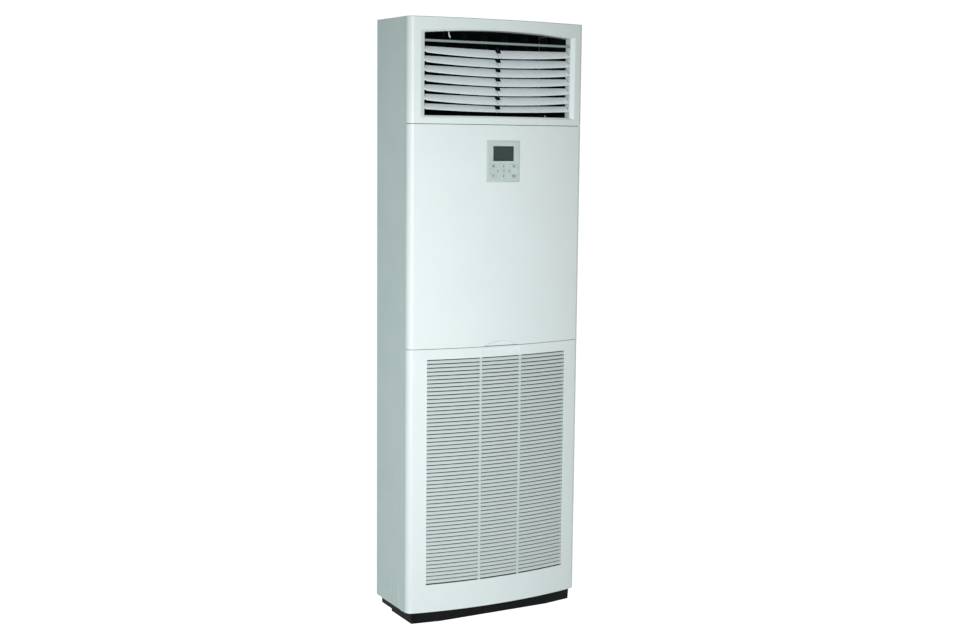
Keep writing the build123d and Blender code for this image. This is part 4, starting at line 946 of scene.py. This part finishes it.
def board(tree, shader):
    """Green circuit board with traces and tinned pads."""
    place = own_place(tree)
    pads = add(tree, "TexVoronoi", {"Vector": place, "Scale": 190.0, "Randomness": 0.5})
    lines = add(
        tree,
        "TexVoronoi",
        {"Vector": place, "Scale": 70.0, "Randomness": 1.0},
        distance="MANHATTAN",
        feature="DISTANCE_TO_EDGE",
    )
    tone = mottled(tree, (0.02, 0.16, 0.06), 60.0, 0.3, (0.3, 0.45))
    trace = spread(tree, lines["Distance"], 0.06, 0.03)
    traced = blend_colours(tree, trace, tone["Colour"], (0.06, 0.3, 0.12, 1))
    tinned = spread(tree, pads["Distance"], 0.2, 0.16)
    colour = blend_colours(tree, tinned, traced, (0.6, 0.6, 0.58, 1))
    feed(shader.inputs["Metallic"], tinned)
    surface(tree, shader, colour, tone["Roughness"], reckon(tree, "MULTIPLY", tinned, 0.0003))


OTHER_FINISHES = {
    "pale_floor": pale_floor,
    "zinc_sheet": zinc,
    "copper_pipe": copper,
    "aluminium_fins": fins,
    "filter_mesh": net,
    "display_glass": display,
    "circuit_board": board,
}


def finish(name):
    """The finish under this name, built when it is first asked for."""
    if name in bpy.data.materials:
        return bpy.data.materials[name]
    material = bpy.data.materials.new(name)
    material.use_nodes = True
    tree = material.node_tree
    shader = tree.nodes["Principled BSDF"]
    if name in MOULDED:
        moulded(tree, shader, **MOULDED[name])
    else:
        OTHER_FINISHES[name](tree, shader)
    return material


# ---- Outlet -------------------------------------------------------------------------------
class COOLER_OT_outlet(bpy.types.Operator):
    """Models the bevelled outlet surround and its rail"""

    bl_idname = "cooler.outlet"
    bl_label = "Outlet Surround"

    def execute(self, context):
        outlet = settings("outlet")
        low, high = heights("outlet_frame")
        surround = half_front("outlet_surround", low, high)
        self.open_mouth(surround, outlet)
        flanges(surround, low, high)
        whole_front(surround)
        join(surround, *self.seats(outlet))
        finished(surround, "cabinet", "pearl_plastic", "pearl_moulding", "outlet_frame")
        rail = block("outlet_bar", *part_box("outlet_rail"), 1.6 * MM, 3)
        # The rail's pearl plastic is painted darker grey, as painted shade
        finished(rail, "cabinet", "pearl_plastic", "rail_moulding", "outlet_rail")
        return {"FINISHED"}

    def open_mouth(self, piece, outlet):
        """Cuts the crowned opening and folds its slope and its deep wall inwards."""
        half, floor = outlet.half + outlet.side_bevel, outlet.low - outlet.end_bevel
        spring = outlet.corner + outlet.end_bevel
        saw("X", half)
        saw("Z", floor, spring)
        follow_bow(piece)
        drop_faces(piece, lambda m: m.x < half and floor < m.z < spring)
        choose(piece, "verts", lambda m: m.x < half + TINY and abs(m.z - spring) < TINY)
        shape(piece, lambda spot: spot + Vector((0, 0, arch(spot.x, half, outlet.crown))))
        top = spring + outlet.crown + TINY
        choose(
            piece,
            "edges",
            lambda m: TINY < m.x < half + TINY and floor - TINY < m.z < top,
            rim=True,
        )
        middle = (floor + spring) / 2
        shrink = (outlet.half / half, 1, 1 - outlet.end_bevel * 2 / (spring - floor))
        pull()
        bpy.ops.transform.resize(value=shrink, center_override=(0, 0, middle))
        bpy.ops.transform.translate(value=(0, outlet.slope, 0))
        pull()
        flatten("Y", outlet.back)

    def seats(self, outlet):
        """Round seats on the side walls that hold the louvres' pins."""
        seats = []
        for _, pivot in louvre_pivots():
            for side in SIDES:
                start, end = side * (outlet.half - 1.6 * MM), side * (outlet.half + 1 * MM)
                ends = (start, *pivot.yz), (end, *pivot.yz)
                seats.append(rod("seat", *ends, 5.5 * MM, edge=0.4 * MM))
        return seats


def louvre_pivots():
    """Each louvre's body with the middle of its axis, in the order of the joints."""
    return [
        (joint["child"], Vector(joint["pos_m"]))
        for joint in JOINTS
        if joint["name"].startswith("louvre_") and joint["name"].endswith("_tilt")
    ]


class COOLER_OT_louvres(bpy.types.Operator):
    """Models the linked louvres"""

    bl_idname = "cooler.louvres"
    bl_label = "Louvres"

    def execute(self, context):
        outlet = settings("outlet")
        full = self.blade("full_blade", outlet.front_end, outlet.front_middle, outlet)
        short = self.blade("short_blade", outlet.last_end, outlet.last_middle, outlet)
        louvres = sorted(louvre_pivots(), key=lambda louvre: louvre[0])
        for name, pivot in louvres:
            pattern = short if name == louvres[-1][0] else full
            blade = twin(pattern, name.replace("louvre", "blade"))
            join(blade, *self.pins(name, outlet))
            blade.rotation_euler = (outlet.tilt, 0, 0)
            blade.location = pivot
            settle(blade)
            finished(blade, name, "silver_plastic", None, name)
        for pattern in (full, short):
            bpy.data.objects.remove(pattern)
        return {"FINISHED"}

    def blade(self, name, front_end, front_middle, outlet):
        """A level blade about its own pivot: bowed front, notched rear, rounded ends."""
        half = outlet.half - outlet.blade_gap
        front = front_middle - front_end
        rear, reach = outlet.rear_middle, outlet.rear_end - outlet.rear_middle
        blade = sheet(name, 2 * half, 20 * MM, 64, 2)
        edit(blade)
        choose(blade, "verts", lambda m: m.y < -TINY)
        shape(blade, lambda s: Vector((s.x, -front_end - arch(s.x, half, front), 0)))
        choose(blade, "verts", lambda m: m.y > TINY)
        shape(blade, lambda s: Vector((s.x, rear + reach * abs(s.x) / half, 0)))
        notch, floor, end = outlet.notch, outlet.notch_floor, outlet.notch_end
        saw("X", -notch, notch)
        saw("Y", end)
        drop_faces(blade, lambda m: abs(m.x) < notch and m.y > end)
        choose(blade, "verts", lambda m: abs(abs(m.x) - notch) < TINY and abs(m.y - end) < TINY)
        shape(blade, lambda s: Vector((floor if s.x > 0 else -floor, s.y, 0)))
        choose(blade, "verts", lambda m: abs(m.x) > half - TINY and m.y < -4 * MM)
        bpy.ops.mesh.bevel(affect="VERTICES", offset=0.8 * front_end, segments=6)
        choose(blade, "verts", lambda m: abs(m.x) > half - TINY and m.y > 14 * MM)
        bpy.ops.mesh.bevel(affect="VERTICES", offset=3 * MM, segments=4)
        thicken(blade, outlet.blade_wall, 0.0)
        soften(blade, 0.9 * MM, 3, 40)
        return paint(blade, "silver_louvre")

    def pins(self, name, outlet):
        """End pins, and the lug with the link's pin, about the blade's own pivot."""
        low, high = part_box(name)
        root = outlet.half - outlet.blade_gap - 8 * MM
        pins = [
            rod("pin", (root, 0, 0), (high.x, 0, 0), 2 * MM, edge=FINE),
            rod("pin", (low.x, 0, 0), (-root, 0, 0), 2 * MM, edge=FINE),
        ]
        link = [
            block("lug", mm(-6.8, -3, -1.5), mm(-3.3, 16, 1.5), 0.5 * MM),
            rod("pin", mm(-4.3, 14, 0), mm(3.3, 14, 0), 1.5 * MM, edge=FINE),
        ]
        for piece in pins:
            paint(piece, "silver_louvre")
        for piece in link:
            paint(piece, "dark_moulding")
        return pins + link


# ---- Centre panel and controller ----------------------------------------------------------
def case_window(grow):
    """Half width, foot and head of the controller's visible case, grown by this much."""
    low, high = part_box("controller_case")
    lip = settings("keypad").lip - grow
    return high.x - lip, low.z + lip, high.z - lip


class COOLER_OT_centre(bpy.types.Operator):
    """Models the plain centre panel with its finger pocket"""

    bl_idname = "cooler.centre"
    bl_label = "Centre Panel"

    def execute(self, context):
        casing = settings("casing")
        low, high = heights("centre_panel")
        panel = half_front("centre_cover", low, high)
        half, foot, head = case_window(0.4 * MM)
        saw("X", half, casing.arch_half)
        saw("Z", foot, head)
        follow_bow(panel)
        drop_faces(panel, lambda m: m.x < half and foot < m.z < head)
        self.finger_pocket(panel, low, casing)
        flanges(panel, low, high)
        whole_front(panel)
        finished(panel, "cabinet", "pearl_plastic", "pearl_moulding", "centre_panel")
        return {"FINISHED"}

    def finger_pocket(self, panel, low, casing):
        """Lifts the lower edge into an arch and folds a shallow pocket behind it."""
        half, rise = casing.arch_half, casing.arch_rise
        top = low + rise + TINY
        choose(panel, "verts", lambda m: m.x < half + TINY and abs(m.z - low) < TINY)
        shape(panel, lambda spot: spot + Vector((0, 0, arch(spot.x, half, rise))))
        choose(panel, "edges", lambda m: TINY < m.x < half and m.z < top, rim=True)
        pull(y=casing.pocket)
        pull()
        flatten("Z", low)
        end, near = 0.85 * half, 0.3 * MM

        def on_arch(m):
            return m.x < end and abs(m.y - bow_y(m.x)) < near and low + MM < m.z < top

        choose(panel, "edges", on_arch)
        bpy.ops.mesh.bevel(affect="EDGES", offset=casing.arch_round, segments=3)


class COOLER_OT_controller(bpy.types.Operator):
    """Models the controller with its display and keys"""

    bl_idname = "cooler.controller"
    bl_label = "Controller"

    def execute(self, context):
        sizes = settings("keypad")
        case = self.case(sizes)
        finished(case, "cabinet", "grey_plastic", "controller_case", "controller_case")
        for name in KEYS:
            self.key(name, sizes)
        return {"FINISHED"}

    def case(self, sizes):
        """The case with sloped edges, its window, key holes and grooves, and its hidden lip."""
        low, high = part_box("controller_case")
        half, foot, head = case_window(0)
        case = block("keypad_case", (-half, low.y, foot), (half, high.y, head))
        face, outer = low.y + TINY, half - TINY
        edit(case)
        choose(case, "faces", lambda m: m.y < face)
        bpy.ops.mesh.inset(thickness=sizes.slope, depth=0)

        def at_rim(m):
            return m.y < face and (abs(m.x) > outer or not foot + TINY < m.z < head - TINY)

        choose(case, "verts", at_rim)
        shape(case, lambda spot: spot + Vector((0, sizes.drop, 0)))
        subtract(case, *self.openings(low.y, sizes), *self.grooves(low.y))
        soften(case, 0.4 * MM, 2, 60)
        return join(case, *self.lips(low, high, half, foot, head))

    def openings(self, face, sizes):
        """What the display, its window and the keys take out of the case."""
        near, deep = face - 5 * MM, face + 4 * MM
        low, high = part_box("controller_screen")
        loose = mm(0.1, 0.1, 0.1)
        cutters = [block("cut", low - loose, high + loose)]
        edge = Vector((sizes.window, 0, sizes.window))
        low, high = low + edge, high - edge
        cutters.append(block("cut", (low.x, near, low.z), (high.x, high.y, high.z)))
        grow = sizes.gap - sizes.rim
        for name in KEYS:
            low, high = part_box(name)
            start, end = (low.x - grow, near, low.z - grow), (high.x + grow, deep, high.z + grow)
            cutters.append(block("cut", start, end))
        return cutters

    def grooves(self, face):
        """Two shallow grooves that bend over and under the round of arrow keys."""
        low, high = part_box("button_enter")
        middle = (low.z + high.z) / 2
        cutters = []
        for side in SIDES:
            points = [(x * MM, face, middle + side * z * MM) for x, z in GROOVE]
            for start, end in zip(points, points[1:]):
                cutters.append(rod("groove", start, end, 0.6 * MM, 8))
        return cutters

    def lips(self, low, high, half, foot, head):
        """The case's hidden lip behind the centre panel, round its four sides."""
        wing = 1.2 * MM
        back = bow_y(high.x) + settings("casing").wall + 0.15 * MM
        corners = (
            (low.x, low.z, high.x, foot + wing),
            (low.x, head - wing, high.x, high.z),
            (low.x, foot, wing - half, head),
            (half - wing, foot, high.x, head),
        )
        return [
            block("lip", (left, back, down), (right, back + wing, up), FINE, 1)
            for left, down, right, up in corners
        ]

    def key(self, name, sizes):
        """A rounded key with its hidden flange and its mark."""
        low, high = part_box(name)
        rim = sizes.rim
        start, end = (low.x + rim, low.y, low.z + rim), high - Vector((rim, rim, rim))
        cap = block("cap", start, end, 0.5 * MM, 3)
        foot = block("foot", (low.x, high.y - rim, low.z), high, 0.2 * MM)
        key = paint(join(cap, foot), "key_caps")
        middle = Vector(((low.x + high.x) / 2, low.y, (low.z + high.z) / 2))
        marks = [paint(mark, "key_marks") for mark in self.marks(name, middle, sizes.mark)]
        named(join(key, *marks), name.replace("button", "key"))
        finished(key, name, "key_plastic", None, name)

    def marks(self, name, middle, height):
        """The generic mark of one key: an arrow, a square, a ring, bars, a star or a wheel."""
        if name in ARROWS:
            return [self.disc(middle, 3, 3, ARROWS[name], height)]
        if name == "button_enter":
            return [self.loop(middle, 3.2, 4, height)]
        if name == "button_power":
            stem = self.bar(middle + mm(0, 0, 1.9), 1.3, 3.6, 0, height)
            return [self.loop(middle, 2.9, 24, height), stem]
        if name == "button_menu":
            return [
                self.bar(middle + mm(0, 0, step), 12, 1.2, 0, height) for step in (-2.5, 0, 2.5)
            ]
        thirds = [turn * pi / 3 for turn in range(3)]
        if name == "button_mode":
            return [self.bar(middle, 8.0, 1.3, turn, height) for turn in thirds]
        vanes = [
            self.disc(middle + 2.5 * mm(sin(2 * turn), 0, cos(2 * turn)), 1.6, 12, 0, height)
            for turn in thirds
        ]
        return [self.loop(middle, 1.1, 16, height), *vanes]

    def disc(self, middle, radius, sides, turn, height):
        """A thin inlay with this many sides, its radius in millimetres."""
        clear()
        bpy.ops.mesh.primitive_cylinder_add(
            vertices=sides,
            radius=radius * MM,
            depth=4 * height,
            location=middle + Vector((0, height, 0)),
            rotation=(pi / 2, turn, 0),
        )
        return fresh("mark")

    def loop(self, middle, radius, sides, height):
        """A thin ring, or with four sides a square, its radius in millimetres."""
        clear()
        bpy.ops.mesh.primitive_torus_add(
            major_radius=radius * MM,
            minor_radius=0.6 * MM,
            major_segments=sides,
            minor_segments=6,
            location=middle + Vector((0, 0.6 * MM - height, 0)),
            rotation=(pi / 2, pi / 4, 0),
        )
        return fresh("mark")

    def bar(self, middle, width, tall, turn, height):
        """A thin straight inlay, its width and height in millimetres."""
        clear()
        bpy.ops.mesh.primitive_cube_add(
            size=1,
            location=middle + Vector((0, height, 0)),
            rotation=(0, turn, 0),
            scale=(width * MM, 4 * height, tall * MM),
        )
        return fresh("mark")


# ---- Intake door --------------------------------------------------------------------------
class COOLER_OT_door(bpy.types.Operator):
    """Models the slatted intake door"""

    bl_idname = "cooler.door"
    bl_label = "Intake Door"

    def execute(self, context):
        sizes, casing = settings("door"), settings("casing")
        low, high = heights("intake_grille")
        foot, head = low + sizes.foot, high - sizes.head
        inner, outer = sizes.rib - sizes.rib_width / 2, sizes.rib + sizes.rib_width / 2
        side = HALF_WIDTH - sizes.side
        scoop = sizes.rib - sizes.scoop_gap
        door = half_front("intake_door", low, high)
        saw("X", scoop, inner, outer, side)
        saw("Z", foot, head)
        saw("Z", *[high - sizes.scoop_height * step / 5 for step in range(1, 6)])
        drop_faces(door, lambda m: foot < m.z < head and (m.x < inner or outer < m.x < side))
        follow_bow(door)
        flanges(door, low, high)
        mirror(door)
        self.scoop(door, high, scoop, sizes)
        thicken(door, casing.wall)
        subtract(door, *self.hinge_gaps(low, sizes))
        even_shading(soften(door, casing.edge))
        slats = self.slats(foot, head, inner, outer, side, sizes)
        paint(door, "pearl_moulding")
        for piece in (*self.rails(high), *self.ears(low, sizes), *self.strikes()):
            join(door, paint(piece, "pearl_moulding"))
        self.shade_ribs(door, foot, head, inner, outer)
        # The slats and ribs take the pearl moulding painted darker, as painted shade
        join(door, paint(slats, "slat_moulding"))
        finished(door, "grille", "pearl_plastic", None, "intake_grille")
        return {"FINISHED"}

    def shade_ribs(self, door, foot, head, inner, outer):
        """Gives the ribs between the slotted fields the slats' darker finish, painted shade that
        dims them.
        """
        door.data.materials.append(finish("slat_moulding"))
        door.active_material_index = 1
        edit(door)
        near, far = inner - MM, outer + MM
        choose(door, "faces", lambda m: near < abs(m.x) < far and foot < m.z < head)
        bpy.ops.object.material_slot_assign()
        clear()

    def scoop(self, door, high, half, sizes):
        """Presses the finger scoop between the ribs into the door's upper edge."""
        edit(door)
        low, near = high - sizes.scoop_height, FRONT + 4 * MM
        choose(door, "faces", lambda m: abs(m.x) < half and m.z > low and m.y < near)
        bpy.ops.mesh.extrude_region_move(TRANSFORM_OT_translate={"value": (0, 0, 0)})
        radius = (sizes.scoop_height**2 + sizes.scoop_depth**2) / (2 * sizes.scoop_depth)
        axis = FRONT + sizes.scoop_depth - radius

        def pressed(spot):
            bowl = axis + sqrt(radius**2 - (high - spot.z) ** 2)
            return Vector((spot.x, max(spot.y, bowl), spot.z))

        shape(door, pressed)
        rim = FRONT + 5 * MM
        drop_faces(door, lambda m: abs(m.x) < half and m.z > high - TINY and m.y < rim)
        merge(door)
        clear()

    def slats(self, foot, head, inner, outer, side, sizes):
        """One row of slats, repeated up the door."""
        pitch = (head - foot - sizes.slot) / (sizes.slots - 1)
        low, high = foot + sizes.slot, foot + pitch
        root = 0.6 * MM
        rows = []
        for left, right in ((-inner - root, inner + root), (outer - root, side + root)):
            slat = bow_strip("slat", low, high, left, right, 0.4 * MM, 240)
            choose(slat, "verts", lambda m: abs(m.z - high) < TINY)
            shape(slat, lambda spot: spot + Vector((0, sizes.slat_lean, 0)))
            choose(slat, "edges", lambda m: abs(m.z - high) < TINY)
            pull(y=sizes.slat_depth - sizes.slat_lean, z=1.0 * MM)
            choose(slat, "edges", lambda m: abs(m.z - low) < TINY)
            pull(y=1.6 * MM, z=-0.3 * MM)
            rows.append(thicken(slat, sizes.slat_wall))
        mirror(rows[1])
        slats = soften(join(*rows), 0.35 * MM, 1)
        return modify(
            slats,
            "ARRAY",
            count=sizes.slots - 1,
            use_relative_offset=False,
            use_constant_offset=True,
            constant_offset_displace=(0, 0, pitch),
        )

    def hinge_line(self):
        """Place of the axis on which the door turns."""
        for joint in JOINTS:
            if joint["child"] == "grille":
                return Vector(joint["pos_m"])
        raise ValueError("The door has no hinge")

    def hinge_gaps(self, low, sizes):
        """Gaps in the door's foot for the fixed hinges."""
        axis = self.hinge_line()
        front, back = axis.y - sizes.ear_round - 2 * MM, MOULDING_BACK + 10 * MM
        gaps = []
        for side in SIDES:
            left = side * sizes.hinge - sizes.hinge_half
            right = side * sizes.hinge + sizes.hinge_half
            gaps.append(block("gap", (left, front, low - MM), (right, back, axis.z + MM)))
        return gaps

    def ears(self, low, sizes):
        """Two ears for each hinge, each with a round end and a hole."""
        axis = self.hinge_line()
        front, back = FRONT + settings("casing").wall, axis.y - 2.3 * MM
        top = axis.z + sizes.ear_round
        ears = []
        for side in SIDES:
            for start in (sizes.hinge_half, -sizes.hinge_half - sizes.ear):
                left = side * sizes.hinge + start
                right = left + sizes.ear
                ends = (left, *axis.yz), (right, *axis.yz)
                ear = rod("ear", *ends, sizes.ear_round, edge=FINE)
                ends = (left - MM, *axis.yz), (right + MM, *axis.yz)
                subtract(ear, rod("hole", *ends, sizes.hole))
                web = block("web", (left, front, low + MM), (right, back, top), FINE, 1)
                ears += [ear, web]
        return ears

    def strikes(self):
        """Steel strikes that meet the magnetic catches."""
        low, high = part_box("grille_catches")
        middle, half, tall = high.x - 8 * MM, 2 * MM, 4.6 * MM
        start, end = bow_y(middle) + 1 * MM, low.y - 0.3 * MM
        centre = (low.z + high.z) / 2
        strikes = []
        for side in SIDES:
            near = side * middle - half, start, centre - tall
            far = side * middle + half, end, centre + tall
            strikes.append(block("strike", near, far, 0.4 * MM))
        return strikes

    def rails(self, top):
        """Filter channels behind the door."""
        low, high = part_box("filter_frame")
        foot, head = low.z - 2.3 * MM, top - 28 * MM
        near, far = low.y - 0.3 * MM, high.y + 0.3 * MM
        rails = []
        for side in SIDES:
            outer, inner = side * (high.x + 2.3 * MM), side * (high.x + 0.3 * MM)
            grip = side * (high.x - 8.7 * MM)
            for reach, start in ((inner, near - 2 * MM), (grip, far)):
                left, right = sorted((reach, outer))
                end = (right, far + 2 * MM, head)
                rails.append(block("rail", (left, start, foot), end, FINE, 1))
        return rails


# ---- Steel panels and carried over parts --------------------------------------------------
class COOLER_OT_sides(bpy.types.Operator):
    """Models the folded side panels with the pipe knock-out"""

    bl_idname = "cooler.sides"
    bl_label = "Side Panels"

    def execute(self, context):
        casing = settings("casing")
        right = [self.folded(casing), *self.outline(casing)]
        left = [self.mirrored(piece) for piece in right]
        for name, pieces in (("right", right), ("left", left)):
            side = named(join(*pieces), name + "_side")
            finished(side, "cabinet", "grey_steel", None, "side_panel_" + name)
        return {"FINISHED"}

    def folded(self, casing):
        """The right panel: one sheet folded round at its front and back, and in at its foot."""
        low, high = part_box("side_panel_right")
        fold, front, back = casing.fold, low.y + casing.fold, high.y - casing.fold
        clear()
        bpy.ops.mesh.primitive_plane_add(
            size=1,
            location=(high.x, (front + back) / 2, (low.z + high.z) / 2),
            rotation=(0, pi / 2, 0),
        )
        bpy.ops.transform.resize(value=(1, back - front, high.z - low.z))
        panel = fresh("side")
        edit(panel)
        end = high.x - fold
        for place, way in ((front, -1), (back, 1)):
            choose(panel, "edges", lambda m: abs(m.y - place) < TINY)
            turn, centre = way * pi / 2, (end, place, 0)
            bpy.ops.mesh.spin(steps=4, angle=turn, center=centre, axis=(0, 0, 1))
            reach = fold - TINY
            choose(
                panel, "edges", lambda m: abs(m.x - end) < TINY and (m.y - place) * way > reach
            )
            pull(x=fold - casing.flange)
        choose(panel, "edges", lambda m: m.x > high.x - TINY and abs(m.z - low.z) < TINY)
        pull(x=low.x - high.x)
        merge(panel)
        face_out(panel)
        thicken(panel, casing.sheet)
        soften(panel, 0.25 * MM, 1, 40)
        return paint(panel, "powder_coat")

    def outline(self, casing):
        """Sheared ridges of the half punched knock-out, low on the panel, painted bright as their
        highlight.
        """
        face, half, proud = HALF_WIDTH, 0.75 * MM, casing.ridge
        edge, radius, bend, turn = -32 * MM, 34 * MM, 68 * MM, radians(78)
        ridges = []
        for y, foot, head in KNOCK_OUT:
            start = face - 0.5 * MM, y * MM - half, foot * MM
            end = face + proud, y * MM + half, head * MM
            ridges.append(block("ridge", start, end, FINE))
        clear()
        bpy.ops.mesh.primitive_plane_add(size=1, location=(face - 0.05 * MM, edge, bend))
        bpy.ops.transform.resize(value=(0.5 * MM + proud, 2 * half, 1))
        arc = fresh("ridge")
        edit(arc)
        choose(arc, "faces")
        centre = (face, edge - radius, bend)
        bpy.ops.mesh.spin(steps=12, angle=turn, center=centre, axis=(1, 0, 0))
        face_out(arc)
        ridges.append(soften(arc, FINE, 2, 40))
        return [paint(ridge, "bare_edge") for ridge in ridges]

    def mirrored(self, piece):
        """A copy on the other side of the casing."""
        other = twin(piece, piece.name + "_left")
        bpy.ops.transform.resize(value=(-1, 1, 1), center_override=(0, 0, 0))
        edit(settle(other))
        face_out(other)
        clear()
        return other


class COOLER_OT_fittings(bpy.types.Operator):
    """Models the casing's screws, the black lining behind the outlet, which is partly painted
    shade, and the air sensor
    """

    bl_idname = "cooler.fittings"
    bl_label = "Screws, Lining and Sensor"

    def execute(self, context):
        low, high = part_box("rear_panel")
        flange_x = HALF_WIDTH - settings("casing").flange / 2
        places = [(x, CASING_HIGH.y, z) for x in (-flange_x, flange_x) for z in SCREW_HEIGHTS]
        places += [(x, high.y, high.z - 9 * MM) for x in SCREW_PLACES]
        pattern = self.screw()
        screws = join(*[twin(pattern, "screw", place) for place in places])
        bpy.data.objects.remove(pattern)
        finished(named(screws, "rear_screws"), "cabinet", "zinc_steel", "zinc_sheet")
        # The black foam mat is partly a real lining and partly painted shade behind the outlet
        finished(self.lining(low), "cabinet", "foam_lined_duct", "foam_lining")
        finished(self.sensor(), "cabinet", "grey_plastic", "silver_louvre", "sensor_clip")
        return {"FINISHED"}

    def sensor(self):
        """A slanting bulb, held by a bent strap under the duct's ceiling."""
        low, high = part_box("sensor_clip")
        middle = (low + high) / 2
        start = low.x + 2.2 * MM, middle.y, low.z + 13 * MM
        end = high.x - 2.2 * MM, middle.y, low.z + 2.2 * MM
        bulb = rod("bulb", start, end, 1.9 * MM, 16, 0.8 * MM)
        strap = sheet("air_sensor", 3.4 * MM, 8 * MM)
        edit(strap)
        choose(strap, "edges", lambda m: m.y > 3.9 * MM)
        pull(z=-17 * MM)
        pull(y=-4 * MM)
        choose(strap)
        bpy.ops.transform.translate(value=(middle.x, middle.y, high.z - 0.2 * MM))
        thicken(strap, 0.6 * MM, 0.0)
        return join(soften(strap, 0.15 * MM, 1, 40), bulb)

    def screw(self):
        """A pan head screw that faces back from the origin, with a cross slot."""
        screw = rod("screw", mm(0, -1, 0), mm(0, 2.2, 0), 4 * MM, 16, 0.9 * MM)
        upright = block("slot", mm(-0.5, 1.2, -2.2), mm(0.5, 3, 2.2))
        level = block("slot", mm(-2.2, 1.2, -0.5), mm(2.2, 3, 0.5))
        return subtract(screw, upright, level)

    def lining(self, rear_low):
        """A quilted black foam mat on the rear panel's inner face, behind the outlet, also a dark
        sheet as painted shade there.
        """
        mat = sheet("rear_lining", 2 * LINING_HALF, LINING_HIGH - LINING_LOW, 14, 9)
        place = (0, rear_low.y - 0.2 * MM, (LINING_LOW + LINING_HIGH) / 2)
        edit(mat)
        choose(mat)
        bpy.ops.transform.rotate(value=pi / 2, orient_axis="X", center_override=(0, 0, 0))
        bpy.ops.transform.translate(value=place)
        face_out(mat)
        thicken(mat, 4 * MM, 0.0)
        inner = min(corner.co.y for corner in mat.data.vertices)
        edit(mat)
        choose(mat, "faces", lambda m: m.y < inner + TINY)
        bpy.ops.mesh.inset(thickness=6 * MM, depth=-1.2 * MM, use_individual=True)
        return soften(mat, 0.8 * MM, 2)


SLOT_FINISHES = {
    "black_plastic": "black_moulding",
    "grey_steel": "powder_coat",
    "zinc_steel": "zinc_sheet",
    "dark_plastic": "dark_moulding",
    "foam_lined_duct": "foam_lining",
    "net": "filter_mesh",
    "motor_steel": "motor_can",
    "aluminium": "aluminium_fins",
    "copper": "copper_pipe",
    "board_green": "circuit_board",
    "grey_plastic": "silver_louvre",
    "pearl_plastic": "pearl_moulding",
    "silver_plastic": "silver_louvre",
    "screen": "display_glass",
    "key_plastic": "key_caps",
}
GRAPHITE_PARTS = ("fan_wheel", "drain_pan", "filter_frame", "terminal_block")


class COOLER_OT_casing(bpy.types.Operator):
    """Gives the parts that are carried over their finishes"""

    bl_idname = "cooler.casing"
    bl_label = "Finishes of the Inner Parts"

    def execute(self, context):
        for part in frame["record"]["subparts"]:
            name = SLOT_FINISHES[part["material_slot"]]
            if part["node"] in GRAPHITE_PARTS:
                name = "graphite_moulding"
            for holder in frame["nodes"][part["node"]].material_slots:
                holder.material = finish(name)
        return {"FINISHED"}


# ---- Add-on -------------------------------------------------------------------------------
GROUPS = {
    "casing": CasingSizes,
    "outlet": OutletSizes,
    "door": DoorSizes,
    "keypad": ControllerSizes,
    "colours": FinishColours,
    "studio": StudioSettings,
}
STEPS = (
    COOLER_OT_casing,
    COOLER_OT_sides,
    COOLER_OT_fittings,
    COOLER_OT_outlet,
    COOLER_OT_louvres,
    COOLER_OT_centre,
    COOLER_OT_controller,
    COOLER_OT_door,
    COOLER_OT_stage,
)


class COOLER_PT_panel(bpy.types.Panel):
    """Lists the steps that build the air conditioner"""

    bl_idname = "COOLER_PT_panel"
    bl_label = "Air Conditioner"
    bl_space_type = "VIEW_3D"
    bl_region_type = "UI"
    bl_category = "Air Conditioner"

    def draw(self, context):
        for step in STEPS:
            self.layout.operator(step.bl_idname)


def register():
    """Registers the sizes, the steps and the panel."""
    for name, group in GROUPS.items():
        bpy.utils.register_class(group)
        setattr(bpy.types.Scene, "cooler_" + name, PointerProperty(type=group))
    for step in (*STEPS, COOLER_PT_panel):
        bpy.utils.register_class(step)


def unregister():
    """Takes back what register added."""
    for step in (COOLER_PT_panel, *STEPS):
        bpy.utils.unregister_class(step)
    for name, group in GROUPS.items():
        delattr(bpy.types.Scene, "cooler_" + name)
        bpy.utils.unregister_class(group)


def main():
    """Builds the scene step by step."""
    register()
    bpy.ops.cooler.casing()
    bpy.ops.cooler.sides()
    bpy.ops.cooler.fittings()
    bpy.ops.cooler.outlet()
    bpy.ops.cooler.louvres()
    bpy.ops.cooler.centre()
    bpy.ops.cooler.controller()
    bpy.ops.cooler.door()
    bpy.ops.cooler.stage()
    clear()


if __name__ == "__main__":
    main()
